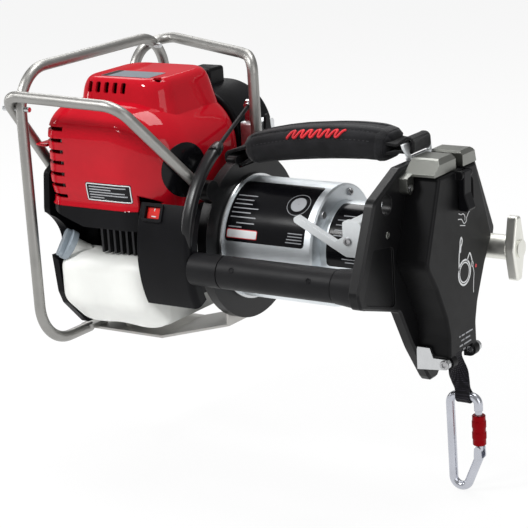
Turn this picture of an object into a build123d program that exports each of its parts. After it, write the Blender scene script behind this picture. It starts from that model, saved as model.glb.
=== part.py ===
from build123d import *
import os
from math import acos, cos, pi, radians, sin, sqrt, tan

# Petrol rope winch: a small engine in a tube cage drives a rope sheave through a
# centrifugal clutch and a planetary gearbox. Sizes are in millimetres.
# The origin is the centre of the rope sheave. +X runs along the drive line from the
# engine to the front of the lid, +Z is up, and -Y is the side with the grip.

os.makedirs("parts", exist_ok=True)

# Clearances
RUN_GAP = 0.05
SEAT_GAP = 0.15
BODY_GAP = 0.4

# Head plate and lid
PLATE_FRONT = -18.0
PLATE_THICK = 12.0
PLATE_TOP = 109.0
PLATE_TOP_HALF = 56.0
EAR_SHOULDER = (112.0, 84.5)
EAR_TIP = (155.0, -6.0)
EAR_HEEL = (149.0, -22.0)
LEG_ROOT = (70.0, -46.0)
LEG_MID = (43.0, -95.0)
LEG_TIP = (13.0, -137.0)
LEG_END = -143.0
EAR_ROUND = 9.0
ANCHOR_HOLE_R = 11.0
ANCHOR_HOLE_AT = (88.6, 76.9)
POCKET_DEPTH = 2.5
POCKET = [(-79.0, 29.0), (-120.0, 36.0), (-143.0, -13.0), (-138.0, -20.0), (-79.0, -38.0)]
LID_FRONT = 20.0
LID_WALL = 5.0
LID_FRONT_WALL = 6.0
LID_TOP = 98.0
LID_TOP_HALF = 42.0
LID_APEX = (75.5, 8.0)
LID_HIP = (56.0, -21.0)
LID_WAIST = (37.0, -59.0)
LID_NECK = (31.5, -80.0)
LID_FOOT = (32.0, -104.0)
LID_CORNER = (24.5, -117.0)
LID_BOTTOM = -119.0
LID_EDGE_ROUND = 4.0
HINGE_X = 16.0
HINGE_Z = -111.0
HINGE_PIN_R = 4.0
KNUCKLE_R = 7.5
BRACKET_THICK = 4.5
SLING_NOTCH_HALF = 20.5
SLING_NOTCH_HIGH = 33.0
LATCH_Y = 4.5
LATCH_HALF = 8.0
LATCH_X = 24.5
LATCH_Z = 93.0
LATCH_PIN_R = 2.2
KNOB_Y = 90.0
KNOB_Z = -10.0
KNOB_SPINDLE_R = 7.0
KNOB_STEM_R = 14.0
KNOB_STEM_END = 34.0
KNOB_PLATE = 12.0
KNOB_HALF_LONG = 37.0
KNOB_HALF_WIDE = 14.0
KNOB_TIP_HALF = 5.0

# Rope way
SHEAVE_R = 46.0
GROOVE_R = 34.0
SHEAVE_WIDTH = 20.0
RIB_COUNT = 16
SHAFT_R = 14.0
BUSH_WALL = 6.0
STUD_R = 8.0
NUT_THICK = 3.2
ROPE_GAP = 12.0
ROPE_Y = 5.0
GUIDE_TOP = 115.5
GUIDE_FRONT = 18.0
GUIDE_SPAN = 48.0
BOSS_AT = (-54.5, 88.0)
BOSS_R = 7.0
ROLLER_R = 9.0
ROLLER_WIDTH = 10.0
ROLLER_PIN_R = 4.0
TOP_ROLLER_AT = (20.0, 62.0)
ARM_PIVOT = (46.0, 38.0)
PRESS_ROLLER_AT = (53.2, 9.4)

# Sling and carabiner
SLING_PIN_X = 6.0
SLING_PIN_Z = -108.0
SLING_PIN_R = 3.0
WEB_THICK = 2.5
SLING_WIDTH = 25.0
LOOP_WIDTH = 15.0
TWIST_STEPS = 5
CARABINER_R = 5.0
CARABINER_X = 18.0
CARABINER_WIDTH = 35.0
CARABINER_TOP = -158.0
CARABINER_BOTTOM = -302.0
GATE_R = 4.0
SLEEVE_R = 7.5
FORK_THICK = 2.0
RIVET_R = 1.6

# Drive line
NECK_R = 51.5
NECK_WALL = 10.0
GEARBOX_R = 70.0
GEARBOX_WALL = 7.0
GEARBOX_FRONT = -128.0
GEARBOX_LENGTH = 122.0
FLANGE_THICK = 12.0
FLANGE_R = 96.0
LUG_R = 12.0
RAIL_END_LEFT = (-75.0, 70.0)
RAIL_END_RIGHT = (47.0, 85.0)
STRAP_LUG_TOP = 98.5
STRAP_SLOT_Z = 88.0
CLUTCH_LENGTH = 56.0
CLUTCH_R = 66.0
CLUTCH_WALL = 6.0
DRUM_R = 48.0
DRUM_WALL = 4.0
DRUM_LENGTH = 34.0
FLYWHEEL_R = 54.0
FLYWHEEL_THICK = 14.0
MODULE = 2.0
PRESSURE_ANGLE = radians(20)
SUN_TEETH = 15
PLANET_TEETH = 21
PLANET_COUNT = 3
GEAR_WIDTH = 26.0
BACKLASH = 0.4
SUN_SHAFT_R = 9.0
PLANET_PIN_R = 7.0
CARRIER_THICK = 10.0

# Grip side
GRIP_Y = -118.0
GRIP_Z = -9.0
GRIP_TUBE_R = 14.0
GRIP_R = 18.5
GRIP_START = -211.0
GRIP_END = -64.0
LEVER_PIVOT = (-76.0, 28.4)
LEVER_OUT = -76.0
LEVER_THICK = 8.0
LEVER_PIN_R = 4.0
LEVER_BLOCK = (23.0, 40.0)
LEVER_ROOT = (-80.0, 16.0)
LEVER_TIP = (-140.0, 46.5)
LEVER_BAR = 8.0

# Engine
SHROUD_R = 130.0
SHROUD_WALL = 4.0
SHROUD_LENGTH = 71.0
SHROUD_LIP = 17.0
# Angles round the drive line, in degrees from +Y towards +Z
SHROUD_LOW = 152.0
SHROUD_SWEEP = 54.0
TAIL_LOW = 118.0
TAIL_WIDTH = 12.0
TAIL_DEPTH = 8.0
SWITCH_X = -302.0
SWITCH_TURN = 157.0
SWITCH_LONG = 20.0
SWITCH_WIDE = 14.0
CABLE_END = Vector(-284.0, 52.0, 139.0)
CABLE_R = 2.5
BOOT_LENGTH = 16.0
ADJUSTER_R = 4.5
ADJUSTER_LENGTH = 18.0
COVER_LENGTH = 174.0
COVER_NEAR = -125.0
COVER_FAR = 48.0
COVER_BOTTOM = 50.0
COVER_TOP = 166.0
COVER_WALL = 3.0
# Roundings of the cover's plan: near left, near right, far right, far left
COVER_CORNERS = (26.0, 66.0, 40.0, 26.0)
# How far the left, near, right and far walls lean in at the top, and how far down that starts
COVER_DRAW = (30.0, 45.0, 69.0, 45.0)
COVER_DROP = (34.0, 40.0, 69.0, 50.0)
COVER_LEVELS = (0.0, 0.2, 0.4, 0.58, 0.74, 0.86, 0.95, 1.0)
HUMP_STATIONS = [
    # height over the cover's top, distance in from its left, right, near and far walls, corner
    (-26.0, 16.0, 24.0, 40.0, 4.0, 30.0), (-6.0, 17.0, 28.0, 44.0, 6.0, 30.0),
    (12.0, 19.0, 33.0, 49.0, 9.0, 28.0), (21.0, 23.0, 37.0, 53.0, 13.0, 26.0),
    (25.0, 30.0, 44.0, 60.0, 20.0, 20.0),
]
LOUVRE_COUNT = 7
LOUVRE_PITCH = 13.0
LOUVRE_HEIGHT = 4.5
LOUVRE_LONG = 34.0
LOUVRE_DEPTH = 22.0
LOUVRE_RISE = 50.0
VENT_COUNT = 5
VENT_PITCH = 12.0
VENT_WIDTH = 6.5
VENT_HEIGHT = 12.0
VENT_ALONG = 65.0
MUFFLER_SHORT = 55.0
MUFFLER_DROP = 36.0
LOWER_FLOOR = 27.0
LOWER_KNEE = 54.0
CRANK_R = 10.0
CASE_HALF = 58.0
CASE_BOTTOM = -74.0
BLOCK_BACK = 40.0
BLOCK_TOP = 130.0
FIN_COUNT = 8
FIN_PITCH = 9.0
FIN_THICK = 3.0
FIN_DEPTH = 38.0
INTAKE_WIDTH = 30.0
CLEANER_DEPTH = 74.0
CLEANER_BOTTOM = 78.0
CLEANER_TOP = 158.0
CLEANER_ROUND = 60.0
CATCH_AT = (27.0, 38.0)
CARB_LENGTH = 24.0
CARB_TOP = 120.0
THROTTLE_AT = (72.0, 104.0)
THROTTLE_PIN_R = 3.0
TANK_TOP = -13.0
TANK_DEPTH = 56.0
TANK_BOTTOM = -99.0
TANK_BACK = 60.0
# Distance in from either end of the tank, and how far its section is drawn in there
TANK_ENDS = [(0.0, 11.0), (3.0, 5.0), (11.0, 0.0)]
CAP_AXIS = Vector(-0.55, -0.62, 0.55).normalized()
CAP_R = 18.0
CAP_THICK = 13.0
NECK_TUBE_R = 12.0
REAR_THICK = 8.5
REAR_HALF = [(70.0, 108.0), (112.0, 84.0), (117.0, 42.0), (105.0, -62.0), (98.0, -78.0), (66.0, -111.0)]
DOME_R = 48.0
DOME_DEPTH = 20.0
DOME_Z = -5.0
BOSS_END_AT = (58.0, 56.0)
RAIL_BOSS_R = 9.0

# Cage
TUBE_R = 6.5
HOOP_STAND = 2.0
HOOP_HALF = 138.0
HOOP_TOP = 206.0
HOOP_BOTTOM = -122.0
HOOP_BEND = 46.0
HOOP_END = 50.0
HOOP_TAB_END = 24.0
TAB_THICK = 5.0
BOLT_R = 3.0
RAIL_LEFT_Z = 181.0
SHEET = 3.0
BRACKET_HALF = 45.0
BRACKET_LOW = -99.0
BRACKET_HIGH = -78.0
TANK_STUD_R = 4.0

# Carrying strap
PAD_WIDTH = 52.0
PAD_THICK = 36.0
PAD_ROUND = 13.0
PAD_STATIONS = [
    # along, height, slope in degrees, share of the full section
    (-243.0, 103.0, 16.0, 0.8), (-228.0, 107.0, 15.0, 0.97), (-185.0, 115.5, 9.0, 1.0),
    (-140.0, 120.5, 5.0, 1.0), (-100.0, 122.5, 1.0, 1.0), (-70.0, 121.5, -5.0, 0.98),
    (-55.0, 119.5, -8.0, 0.85),
]
WEB_WIDTH = 38.0
STRAP_WEB = 3.5
BUCKLE_HALF = 29.0
BUCKLE_THICK = 3.5
BUCKLE_LEAN = 5.0
BUCKLE_FOOT = 3.0

# Places that follow from the driving sizes
PLATE_BACK = PLATE_FRONT - PLATE_THICK
GEARBOX_BACK = GEARBOX_FRONT - GEARBOX_LENGTH
FLANGE_BACK = GEARBOX_BACK - FLANGE_THICK
ENGINE_FACE = FLANGE_BACK - CLUTCH_LENGTH
LID_BACK = PLATE_FRONT + BODY_GAP
COVER_RIGHT = FLANGE_BACK - 19
COVER_LEFT = COVER_RIGHT - COVER_LENGTH
CASE_LEFT = COVER_LEFT + 25
REAR_FRONT = COVER_LEFT - 0.5
REAR_BACK = REAR_FRONT - REAR_THICK
HOOP_X = REAR_BACK - HOOP_STAND
RAIL_HALF = HOOP_HALF + 2 * TUBE_R + 0.5
RAIL_X = HOOP_X - 2 * TUBE_R - 0.5
RING_TEETH = SUN_TEETH + 2 * PLANET_TEETH
PLANET_ORBIT = MODULE * (SUN_TEETH + PLANET_TEETH) / 2
LEVER_BLOCK_AT = (LEVER_PIVOT[0] + 5.5, LEVER_PIVOT[1] + 2.6)
TANK_NEAR = -CASE_HALF - TANK_DEPTH
CAP_AT = Vector(COVER_LEFT + 9, TANK_NEAR + 11, TANK_TOP + 10)
STUD_AT = (COVER_LEFT + 30, -25.0)
BOLT_LEFT_AT = (
    -HOOP_HALF,
    RAIL_LEFT_Z - (RAIL_LEFT_Z - BOSS_END_AT[1]) * (RAIL_HALF - HOOP_HALF) / (RAIL_HALF - BOSS_END_AT[0]),
)
BOLT_RIGHT_AT = (HOOP_HALF - 21, HOOP_TOP - 11)


def finish(piece, name):
    """Label a finished piece and write its file."""
    piece.part.label = name
    export_step(piece.part, f"parts/{name}.step")


def across(x):
    """Plane square to the drive line at x, with local x along +Y and local y along +Z."""
    return Plane(origin=(x, 0, 0), x_dir=(0, 1, 0), z_dir=(1, 0, 0))


def beside(y):
    """Upright plane along the drive line at y, with local x along +X and local y along +Z."""
    return Plane(origin=(0, y, 0), x_dir=(1, 0, 0), z_dir=(0, -1, 0))


def mirrored(points):
    """Points of a right half followed by their mirror images, as a closed outline."""
    return points + [(-y, z) for y, z in reversed(points)]


def both_sides(radii):
    """Corner radii that go with a mirrored outline."""
    return radii + list(reversed(radii))


# Head plate: a thick casting with two ears and a tapered leg

plate_half = [
    (PLATE_TOP_HALF, PLATE_TOP), EAR_SHOULDER, EAR_TIP, EAR_HEEL,
    LEG_ROOT, LEG_MID, LEG_TIP, (LEG_TIP[0] - 6, LEG_END),
]
plate_radii = [6, 14, EAR_ROUND, EAR_ROUND, 8, 120, 4, 4]
bearing_r = SHAFT_R + BUSH_WALL
with BuildPart() as head_plate:
    with BuildSketch(across(PLATE_BACK)):
        with BuildLine():
            FilletPolyline(*mirrored(plate_half), radius=both_sides(plate_radii), close=True)
        make_face()
    extrude(amount=PLATE_THICK)
    chamfer(head_plate.faces().sort_by(Axis.X)[-1].edges(), 2.5)
    with BuildSketch(across(PLATE_BACK)):
        Circle(bearing_r + SEAT_GAP)
        with Locations(ANCHOR_HOLE_AT, (-ANCHOR_HOLE_AT[0], ANCHOR_HOLE_AT[1])):
            Circle(ANCHOR_HOLE_R)
        with Locations((KNOB_Y, KNOB_Z)):
            Circle(KNOB_SPINDLE_R + RUN_GAP)
    extrude(amount=PLATE_THICK, mode=Mode.SUBTRACT)
    with BuildSketch(across(PLATE_FRONT)):
        with BuildLine():
            FilletPolyline(*POCKET, radius=5, close=True)
        make_face()
    extrude(amount=-POCKET_DEPTH, mode=Mode.SUBTRACT)
finish(head_plate, "head_plate")

with BuildPart() as shaft_bush:
    with BuildSketch(across(PLATE_BACK)):
        Circle(bearing_r)
        Circle(SHAFT_R + RUN_GAP, mode=Mode.SUBTRACT)
    extrude(amount=PLATE_THICK)
finish(shaft_bush, "shaft_bush")

# Lid: a shell over the sheave that swings forward on two pins at its foot

lid_half = [
    (LID_TOP_HALF, LID_TOP), LID_APEX, LID_HIP, LID_WAIST, LID_NECK,
    LID_FOOT, LID_CORNER, (LID_CORNER[0] - 5, LID_BOTTOM),
]
lid_radii = [3, 14, 18, 30, 20, 2, 3, 3]
knuckle_in = SLING_NOTCH_HALF + BODY_GAP
knuckle_out = LID_FOOT[0] - 1.5
top_drop = 3.2
with BuildPart() as lid:
    with BuildSketch(across(LID_BACK)):
        with BuildLine():
            FilletPolyline(*mirrored(lid_half), radius=both_sides(lid_radii), close=True)
        make_face()
    extrude(amount=LID_FRONT - LID_BACK)
    fillet(lid.faces().sort_by(Axis.X)[-1].edges(), LID_EDGE_ROUND)
    with BuildSketch(across(LID_BACK)):
        with BuildLine():
            FilletPolyline(*mirrored(lid_half), radius=both_sides(lid_radii), close=True)
        make_face()
        offset(amount=-LID_WALL)
    extrude(amount=LID_FRONT - LID_FRONT_WALL - LID_BACK, mode=Mode.SUBTRACT)
    # The top falls towards the plate, so that it clears the guides as the lid swings
    with BuildSketch(beside(0)):
        Polygon(
            (LID_FRONT, LID_TOP), (LID_FRONT, LID_TOP + 5), (LID_BACK - 1, LID_TOP + 5),
            (LID_BACK - 1, LID_TOP - top_drop), align=None,
        )
    extrude(amount=PLATE_TOP_HALF, both=True, mode=Mode.SUBTRACT)
    # Rope slot in the top, notch for the sling, and an open foot behind the front wall
    with BuildSketch(beside(ROPE_Y)):
        with Locations((LID_BACK, LID_TOP)):
            Rectangle(2 * (LID_FRONT - LID_FRONT_WALL - LID_BACK), 2 * LID_WALL + 4)
    extrude(amount=ROPE_GAP / 2 + 1, both=True, mode=Mode.SUBTRACT)
    with BuildSketch(beside(0)):
        with Locations((0, LID_BOTTOM)):
            Rectangle(4 * LID_FRONT, SLING_NOTCH_HIGH)
    extrude(amount=SLING_NOTCH_HALF, both=True, mode=Mode.SUBTRACT)
    with BuildSketch(beside(0)):
        with Locations((LID_BACK, LID_BOTTOM)):
            Rectangle(2 * (HINGE_X - KNUCKLE_R - LID_BACK), 26)
    extrude(amount=LID_FOOT[0] + LID_WALL, both=True, mode=Mode.SUBTRACT)
    # Hinge knuckles
    for side in (-1, 1):
        with BuildSketch(beside(side * (knuckle_in + knuckle_out) / 2)):
            with Locations((HINGE_X, HINGE_Z)):
                Circle(KNUCKLE_R)
            with Locations((HINGE_X, HINGE_Z + KNUCKLE_R / 2)):
                Rectangle(2 * (LID_FRONT - HINGE_X), KNUCKLE_R)
        extrude(amount=(knuckle_out - knuckle_in) / 2, both=True)
    with BuildSketch(beside(0)):
        with Locations((HINGE_X, HINGE_Z)):
            Circle(HINGE_PIN_R + RUN_GAP)
    extrude(amount=2 * LID_APEX[0], both=True, mode=Mode.SUBTRACT)
    # Ears that carry the latch, and a finger scoop beside it
    for side in (-1, 1):
        with BuildSketch(beside(LATCH_Y + side * (LATCH_HALF + BODY_GAP + 1.5))):
            with Locations((LATCH_X - 3, LATCH_Z)):
                Rectangle(2 * (LATCH_X - LID_FRONT) + 2, 9)
            with Locations((LATCH_X, LATCH_Z)):
                Circle(4.5)
        extrude(amount=1.5, both=True)
    with BuildSketch(beside(LATCH_Y)):
        with Locations((LATCH_X, LATCH_Z)):
            Circle(LATCH_PIN_R)
    extrude(amount=LATCH_HALF + 1, both=True)
    with BuildSketch(across(LID_FRONT)):
        with Locations((LATCH_Y + LATCH_HALF + 12, 70)):
            RectangleRounded(18, 30, 7)
    extrude(amount=-4, taper=25, mode=Mode.SUBTRACT)
finish(lid, "lid")

with BuildPart() as lid_latch:
    with BuildSketch(beside(LATCH_Y)):
        Polygon(
            (LATCH_X - 2, LATCH_Z + 4), (LATCH_X + 4.5, LATCH_Z + 4), (LATCH_X + 4, 72), (LATCH_X + 9, 56),
            (LATCH_X + 7, 53), (LID_FRONT + BODY_GAP, 53), (LID_FRONT + BODY_GAP, LATCH_Z - 4), align=None,
        )
    extrude(amount=LATCH_HALF, both=True)
    fillet(lid_latch.edges().filter_by(Axis.Y), 1.2)
    chamfer(lid_latch.faces().sort_by(Axis.Y)[0].edges(), 0.8)
    chamfer(lid_latch.faces().sort_by(Axis.Y)[-1].edges(), 0.8)
    with BuildSketch(beside(LATCH_Y)):
        with Locations((LATCH_X, LATCH_Z)):
            Circle(LATCH_PIN_R + RUN_GAP)
    extrude(amount=LATCH_HALF, both=True, mode=Mode.SUBTRACT)
finish(lid_latch, "lid_latch")

# Hinge brackets at the foot of the lid, each with its pin

bracket_y = LID_FOOT[0] + 1.5 + BRACKET_THICK / 2
pin_out = bracket_y + BRACKET_THICK / 2
with BuildPart() as hinge_brackets:
    for side in (-1, 1):
        with BuildSketch(beside(side * bracket_y)):
            Polygon(
                (PLATE_FRONT, HINGE_Z + 17), (PLATE_FRONT + 16, HINGE_Z + 17),
                (PLATE_FRONT + 20, HINGE_Z + 6), (HINGE_X, HINGE_Z + 6), (HINGE_X, HINGE_Z - 6),
                (PLATE_FRONT, HINGE_Z - 9), align=None,
            )
            with Locations((HINGE_X, HINGE_Z)):
                Circle(6)
        extrude(amount=BRACKET_THICK / 2, both=True)
        with BuildSketch(beside(side * (pin_out + knuckle_in) / 2)):
            with Locations((HINGE_X, HINGE_Z)):
                Circle(HINGE_PIN_R)
        extrude(amount=(pin_out - knuckle_in) / 2, both=True)
finish(hinge_brackets, "hinge_brackets")

# Stainless rope guides on top of the plate, either side of the rope gap

guide_floor = LID_TOP + 1.2
left_end = ROPE_Y - ROPE_GAP / 2
right_start = ROPE_Y + ROPE_GAP / 2
with BuildPart() as rope_guide_left:
    with BuildSketch(across(PLATE_FRONT)):
        Polygon(
            (left_end, guide_floor), (left_end, GUIDE_TOP), (left_end - 30, GUIDE_TOP),
            (left_end - GUIDE_SPAN, guide_floor + 3), (left_end - GUIDE_SPAN, guide_floor), align=None,
        )
    extrude(amount=GUIDE_FRONT - PLATE_FRONT)
    front_top = rope_guide_left.faces().sort_by(Axis.X)[-1].edges().sort_by(Axis.Z)[-1]
    chamfer(front_top, 5)
    chamfer(rope_guide_left.edges().filter_by(Axis.X).sort_by(Axis.Z)[-1], 2)
    with BuildSketch(across(PLATE_FRONT)):
        with BuildLine():
            Polyline(
                (BOSS_AT[0] - BOSS_R, BOSS_AT[1]), (BOSS_AT[0] - BOSS_R, guide_floor),
                (left_end - GUIDE_SPAN, guide_floor + 3), (left_end - GUIDE_SPAN + 8, guide_floor),
                (BOSS_AT[0] + BOSS_R, guide_floor), (BOSS_AT[0] + BOSS_R, BOSS_AT[1]), close=True,
            )
        make_face()
        with Locations(BOSS_AT):
            Circle(BOSS_R)
    extrude(amount=10)
    with BuildSketch(across(PLATE_FRONT + 10)):
        with Locations(BOSS_AT):
            Circle(4.6)
    extrude(amount=-4, mode=Mode.SUBTRACT)
finish(rope_guide_left, "rope_guide_left")

with BuildPart() as rope_guide_right:
    with BuildSketch(across(PLATE_FRONT)):
        Polygon(
            (right_start, guide_floor), (right_start, GUIDE_TOP), (right_start + 27, GUIDE_TOP),
            (right_start + 31, guide_floor), align=None,
        )
    extrude(amount=LID_FRONT - PLATE_FRONT)
    chamfer(rope_guide_right.faces().sort_by(Axis.X)[-1].edges().sort_by(Axis.Z)[-1], 4)
    chamfer(rope_guide_right.edges().filter_by(Axis.X).sort_by(Axis.Z)[-2:], 2)
finish(rope_guide_right, "rope_guide_right")

# Rope sheave: a ribbed V groove on the output shaft

half_width = SHEAVE_WIDTH / 2
hub_r = SHAFT_R + 7
with BuildPart() as rope_sheave:
    with BuildSketch(beside(0)):
        Polygon(
            (PLATE_FRONT + 2 * BODY_GAP, SHAFT_R + SEAT_GAP), (half_width, SHAFT_R + SEAT_GAP),
            (half_width, SHEAVE_R), (half_width - 2, SHEAVE_R), (2, GROOVE_R), (-2, GROOVE_R),
            (2 - half_width, SHEAVE_R), (-half_width, SHEAVE_R), (-half_width, hub_r),
            (PLATE_FRONT + 2 * BODY_GAP, hub_r), align=None,
        )
    revolve(axis=Axis.X)
    for rib in range(RIB_COUNT):
        with BuildSketch(beside(0).rotated((rib * 360 / RIB_COUNT, 0, 0))):
            for side in (-1, 1):
                Polygon(
                    (side * (half_width - 0.5), SHEAVE_R - 0.5), (side * (half_width - 4), SHEAVE_R - 0.5),
                    (side * 1.2, GROOVE_R + 1.5), (side * 1.2, GROOVE_R - 1), (side * 4, GROOVE_R - 1),
                    align=None,
                )
        extrude(amount=1.5, both=True)
finish(rope_sheave, "rope_sheave")

# Rollers that lead the rope into the groove and press it there

with BuildPart() as roller_pins:
    for at in (TOP_ROLLER_AT, ARM_PIVOT):
        with BuildSketch(across(PLATE_FRONT)):
            with Locations(at):
                Circle(ROLLER_PIN_R)
        extrude(amount=half_width - PLATE_FRONT)
finish(roller_pins, "roller_pins")

with BuildPart() as guide_roller:
    with BuildSketch(across(-ROLLER_WIDTH / 2)):
        with Locations(TOP_ROLLER_AT):
            Circle(ROLLER_R)
            Circle(ROLLER_PIN_R + RUN_GAP, mode=Mode.SUBTRACT)
    extrude(amount=ROLLER_WIDTH)
finish(guide_roller, "guide_roller")

arm_out = half_width - 1
arm_in = ROLLER_WIDTH / 2 + BODY_GAP
with BuildPart() as pressure_arm:
    for start in (-arm_out, arm_in):
        with BuildSketch(across(start)):
            with Locations(ARM_PIVOT, PRESS_ROLLER_AT):
                Circle(ROLLER_PIN_R + 2)
            make_hull()
            with Locations(ARM_PIVOT):
                Circle(ROLLER_PIN_R + RUN_GAP, mode=Mode.SUBTRACT)
        extrude(amount=arm_out - arm_in)
    with BuildSketch(across(-arm_out)):
        with Locations(PRESS_ROLLER_AT):
            Circle(ROLLER_PIN_R)
    extrude(amount=2 * arm_out)
finish(pressure_arm, "pressure_arm")

with BuildPart() as pressure_roller:
    with BuildSketch(across(-ROLLER_WIDTH / 2)):
        with Locations(PRESS_ROLLER_AT):
            Circle(ROLLER_R)
            Circle(ROLLER_PIN_R + RUN_GAP, mode=Mode.SUBTRACT)
    extrude(amount=ROLLER_WIDTH)
finish(pressure_roller, "pressure_roller")

# Turn knob beside the lid: turned across, its diamond handle keeps the lid shut

collar_back = PLATE_BACK - 4
diamond = [
    (KNOB_Y + KNOB_TIP_HALF, KNOB_Z + KNOB_HALF_LONG), (KNOB_Y + KNOB_HALF_WIDE, KNOB_Z),
    (KNOB_Y + KNOB_TIP_HALF, KNOB_Z - KNOB_HALF_LONG), (KNOB_Y - KNOB_TIP_HALF, KNOB_Z - KNOB_HALF_LONG),
    (KNOB_Y - KNOB_HALF_WIDE, KNOB_Z), (KNOB_Y - KNOB_TIP_HALF, KNOB_Z + KNOB_HALF_LONG),
]
with BuildPart() as turn_knob:
    with BuildSketch(across(collar_back)):
        with Locations((KNOB_Y, KNOB_Z)):
            Circle(KNOB_SPINDLE_R)
    extrude(amount=KNOB_STEM_END - collar_back)
    with BuildSketch(across(collar_back)):
        with Locations((KNOB_Y, KNOB_Z)):
            Circle(KNOB_SPINDLE_R + 3)
    extrude(amount=PLATE_BACK - BODY_GAP - collar_back)
    with BuildSketch(across(PLATE_FRONT + BODY_GAP)):
        with Locations((KNOB_Y, KNOB_Z)):
            Circle(KNOB_STEM_R)
    extrude(amount=KNOB_STEM_END - PLATE_FRONT - BODY_GAP)
    with BuildSketch(across(KNOB_STEM_END)):
        with BuildLine():
            FilletPolyline(*diamond, radius=[4, 12, 4, 4, 12, 4], close=True)
        make_face()
    extrude(amount=KNOB_PLATE)
    fillet(turn_knob.faces().sort_by(Axis.X)[-1].edges(), 3)
    with BuildSketch(across(KNOB_STEM_END + KNOB_PLATE)):
        with Locations((KNOB_Y, KNOB_Z)):
            Circle(KNOB_HALF_WIDE - 4)
    extrude(amount=2.5)
finish(turn_knob, "turn_knob")

# Sling anchor: a fork below the sheave with a pin across it

cheek_in = SLING_WIDTH / 2 + 1
cheek_thick = 5.5
with BuildPart() as sling_anchor:
    for side in (-1, 1):
        with BuildSketch(beside(side * (cheek_in + cheek_thick / 2))):
            Polygon(
                (PLATE_FRONT, SLING_PIN_Z + 12), (PLATE_FRONT + 8, SLING_PIN_Z + 12),
                (SLING_PIN_X, SLING_PIN_Z + 6), (SLING_PIN_X, SLING_PIN_Z - 6),
                (PLATE_FRONT, SLING_PIN_Z - 11), align=None,
            )
            with Locations((SLING_PIN_X, SLING_PIN_Z)):
                Circle(6)
        extrude(amount=cheek_thick / 2, both=True)
    with BuildSketch(across(PLATE_FRONT)):
        with Locations((0, SLING_PIN_Z)):
            Rectangle(2 * cheek_in, 20)
    extrude(amount=4)
    with BuildSketch(beside(0)):
        with Locations((SLING_PIN_X, SLING_PIN_Z)):
            Circle(SLING_PIN_R)
    extrude(amount=cheek_in + cheek_thick, both=True)
finish(sling_anchor, "sling_anchor")

# Sling: webbing round the pin, a quarter twist, and a loop round the carabiner

pin_eye = SLING_PIN_R + BODY_GAP
bar_eye = CARABINER_R + BODY_GAP
twist_top = SLING_PIN_Z - pin_eye - WEB_THICK + 1
twist_bottom = CARABINER_TOP + bar_eye + WEB_THICK - 1
loop_x = CARABINER_X + 1
with BuildPart() as sling:
    for step in range(TWIST_STEPS):
        share = step / (TWIST_STEPS - 1)
        turn = share * pi / 2
        section = Plane(
            origin=(
                SLING_PIN_X + share * (loop_x - SLING_PIN_X), 0,
                twist_top + share * (twist_bottom - twist_top),
            ),
            x_dir=(sin(turn), cos(turn), 0), z_dir=(0, 0, -1),
        )
        with BuildSketch(section):
            RectangleRounded(SLING_WIDTH + share * (LOOP_WIDTH - SLING_WIDTH), 2 * WEB_THICK, 1.2)
    loft()
    with BuildSketch(beside(0)):
        with Locations((SLING_PIN_X, SLING_PIN_Z)):
            Circle(pin_eye + WEB_THICK)
    extrude(amount=SLING_WIDTH / 2, both=True)
    with BuildSketch(beside(0)):
        with Locations((SLING_PIN_X, SLING_PIN_Z)):
            Circle(pin_eye)
    extrude(amount=SLING_WIDTH / 2, both=True, mode=Mode.SUBTRACT)
    with BuildSketch(across(loop_x)):
        with Locations((0, CARABINER_TOP)):
            Circle(bar_eye + WEB_THICK)
    extrude(amount=LOOP_WIDTH / 2, both=True)
    with BuildSketch(across(loop_x)):
        with Locations((0, CARABINER_TOP)):
            Circle(bar_eye)
    extrude(amount=LOOP_WIDTH / 2, both=True, mode=Mode.SUBTRACT)
finish(sling, "sling")

# Carabiner: a bent bar, a sprung gate and a lock sleeve on the gate

gate_x = CARABINER_X + CARABINER_WIDTH / 2
spine_x = CARABINER_X - CARABINER_WIDTH / 2
gate_top = CARABINER_TOP - 15
gate_foot = CARABINER_TOP - 68
carabiner_points = [
    (gate_x, 0, gate_top), (gate_x, 0, CARABINER_TOP), (spine_x, 0, CARABINER_TOP),
    (spine_x + 2, 0, CARABINER_BOTTOM), (gate_x, 0, gate_foot),
]
carabiner_bends = [8, 10, 10]
gate_pivot = gate_foot + CARABINER_R + 3
with BuildPart() as carabiner_body:
    with BuildLine() as carabiner_path:
        FilletPolyline(*carabiner_points, radius=carabiner_bends)
    with BuildSketch(carabiner_path.line ^ 0):
        Circle(CARABINER_R)
    sweep()
    # Fork and rivet that carry the gate
    for side in (-1, 1):
        with BuildSketch(beside(side * (GATE_R + BODY_GAP + FORK_THICK / 2))):
            with Locations((gate_x, gate_foot)):
                Circle(CARABINER_R - 0.5)
            with Locations((gate_x, gate_pivot)):
                Circle(GATE_R)
            make_hull()
        extrude(amount=FORK_THICK / 2, both=True)
    with BuildSketch(beside(0)):
        with Locations((gate_x, gate_pivot)):
            Circle(RIVET_R)
    extrude(amount=GATE_R + BODY_GAP + FORK_THICK, both=True)
finish(carabiner_body, "carabiner_body")

with BuildPart() as carabiner_gate:
    with BuildSketch(Plane.XY.offset(gate_pivot)):
        with Locations((gate_x, 0)):
            Circle(GATE_R)
    extrude(amount=gate_top - BODY_GAP - gate_pivot)
    with Locations((gate_x, 0, gate_pivot)):
        Sphere(GATE_R)
    with BuildSketch(beside(0)):
        with Locations((gate_x, gate_pivot)):
            Circle(RIVET_R + RUN_GAP)
    extrude(amount=2 * GATE_R, both=True, mode=Mode.SUBTRACT)
finish(carabiner_gate, "carabiner_gate")

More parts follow.
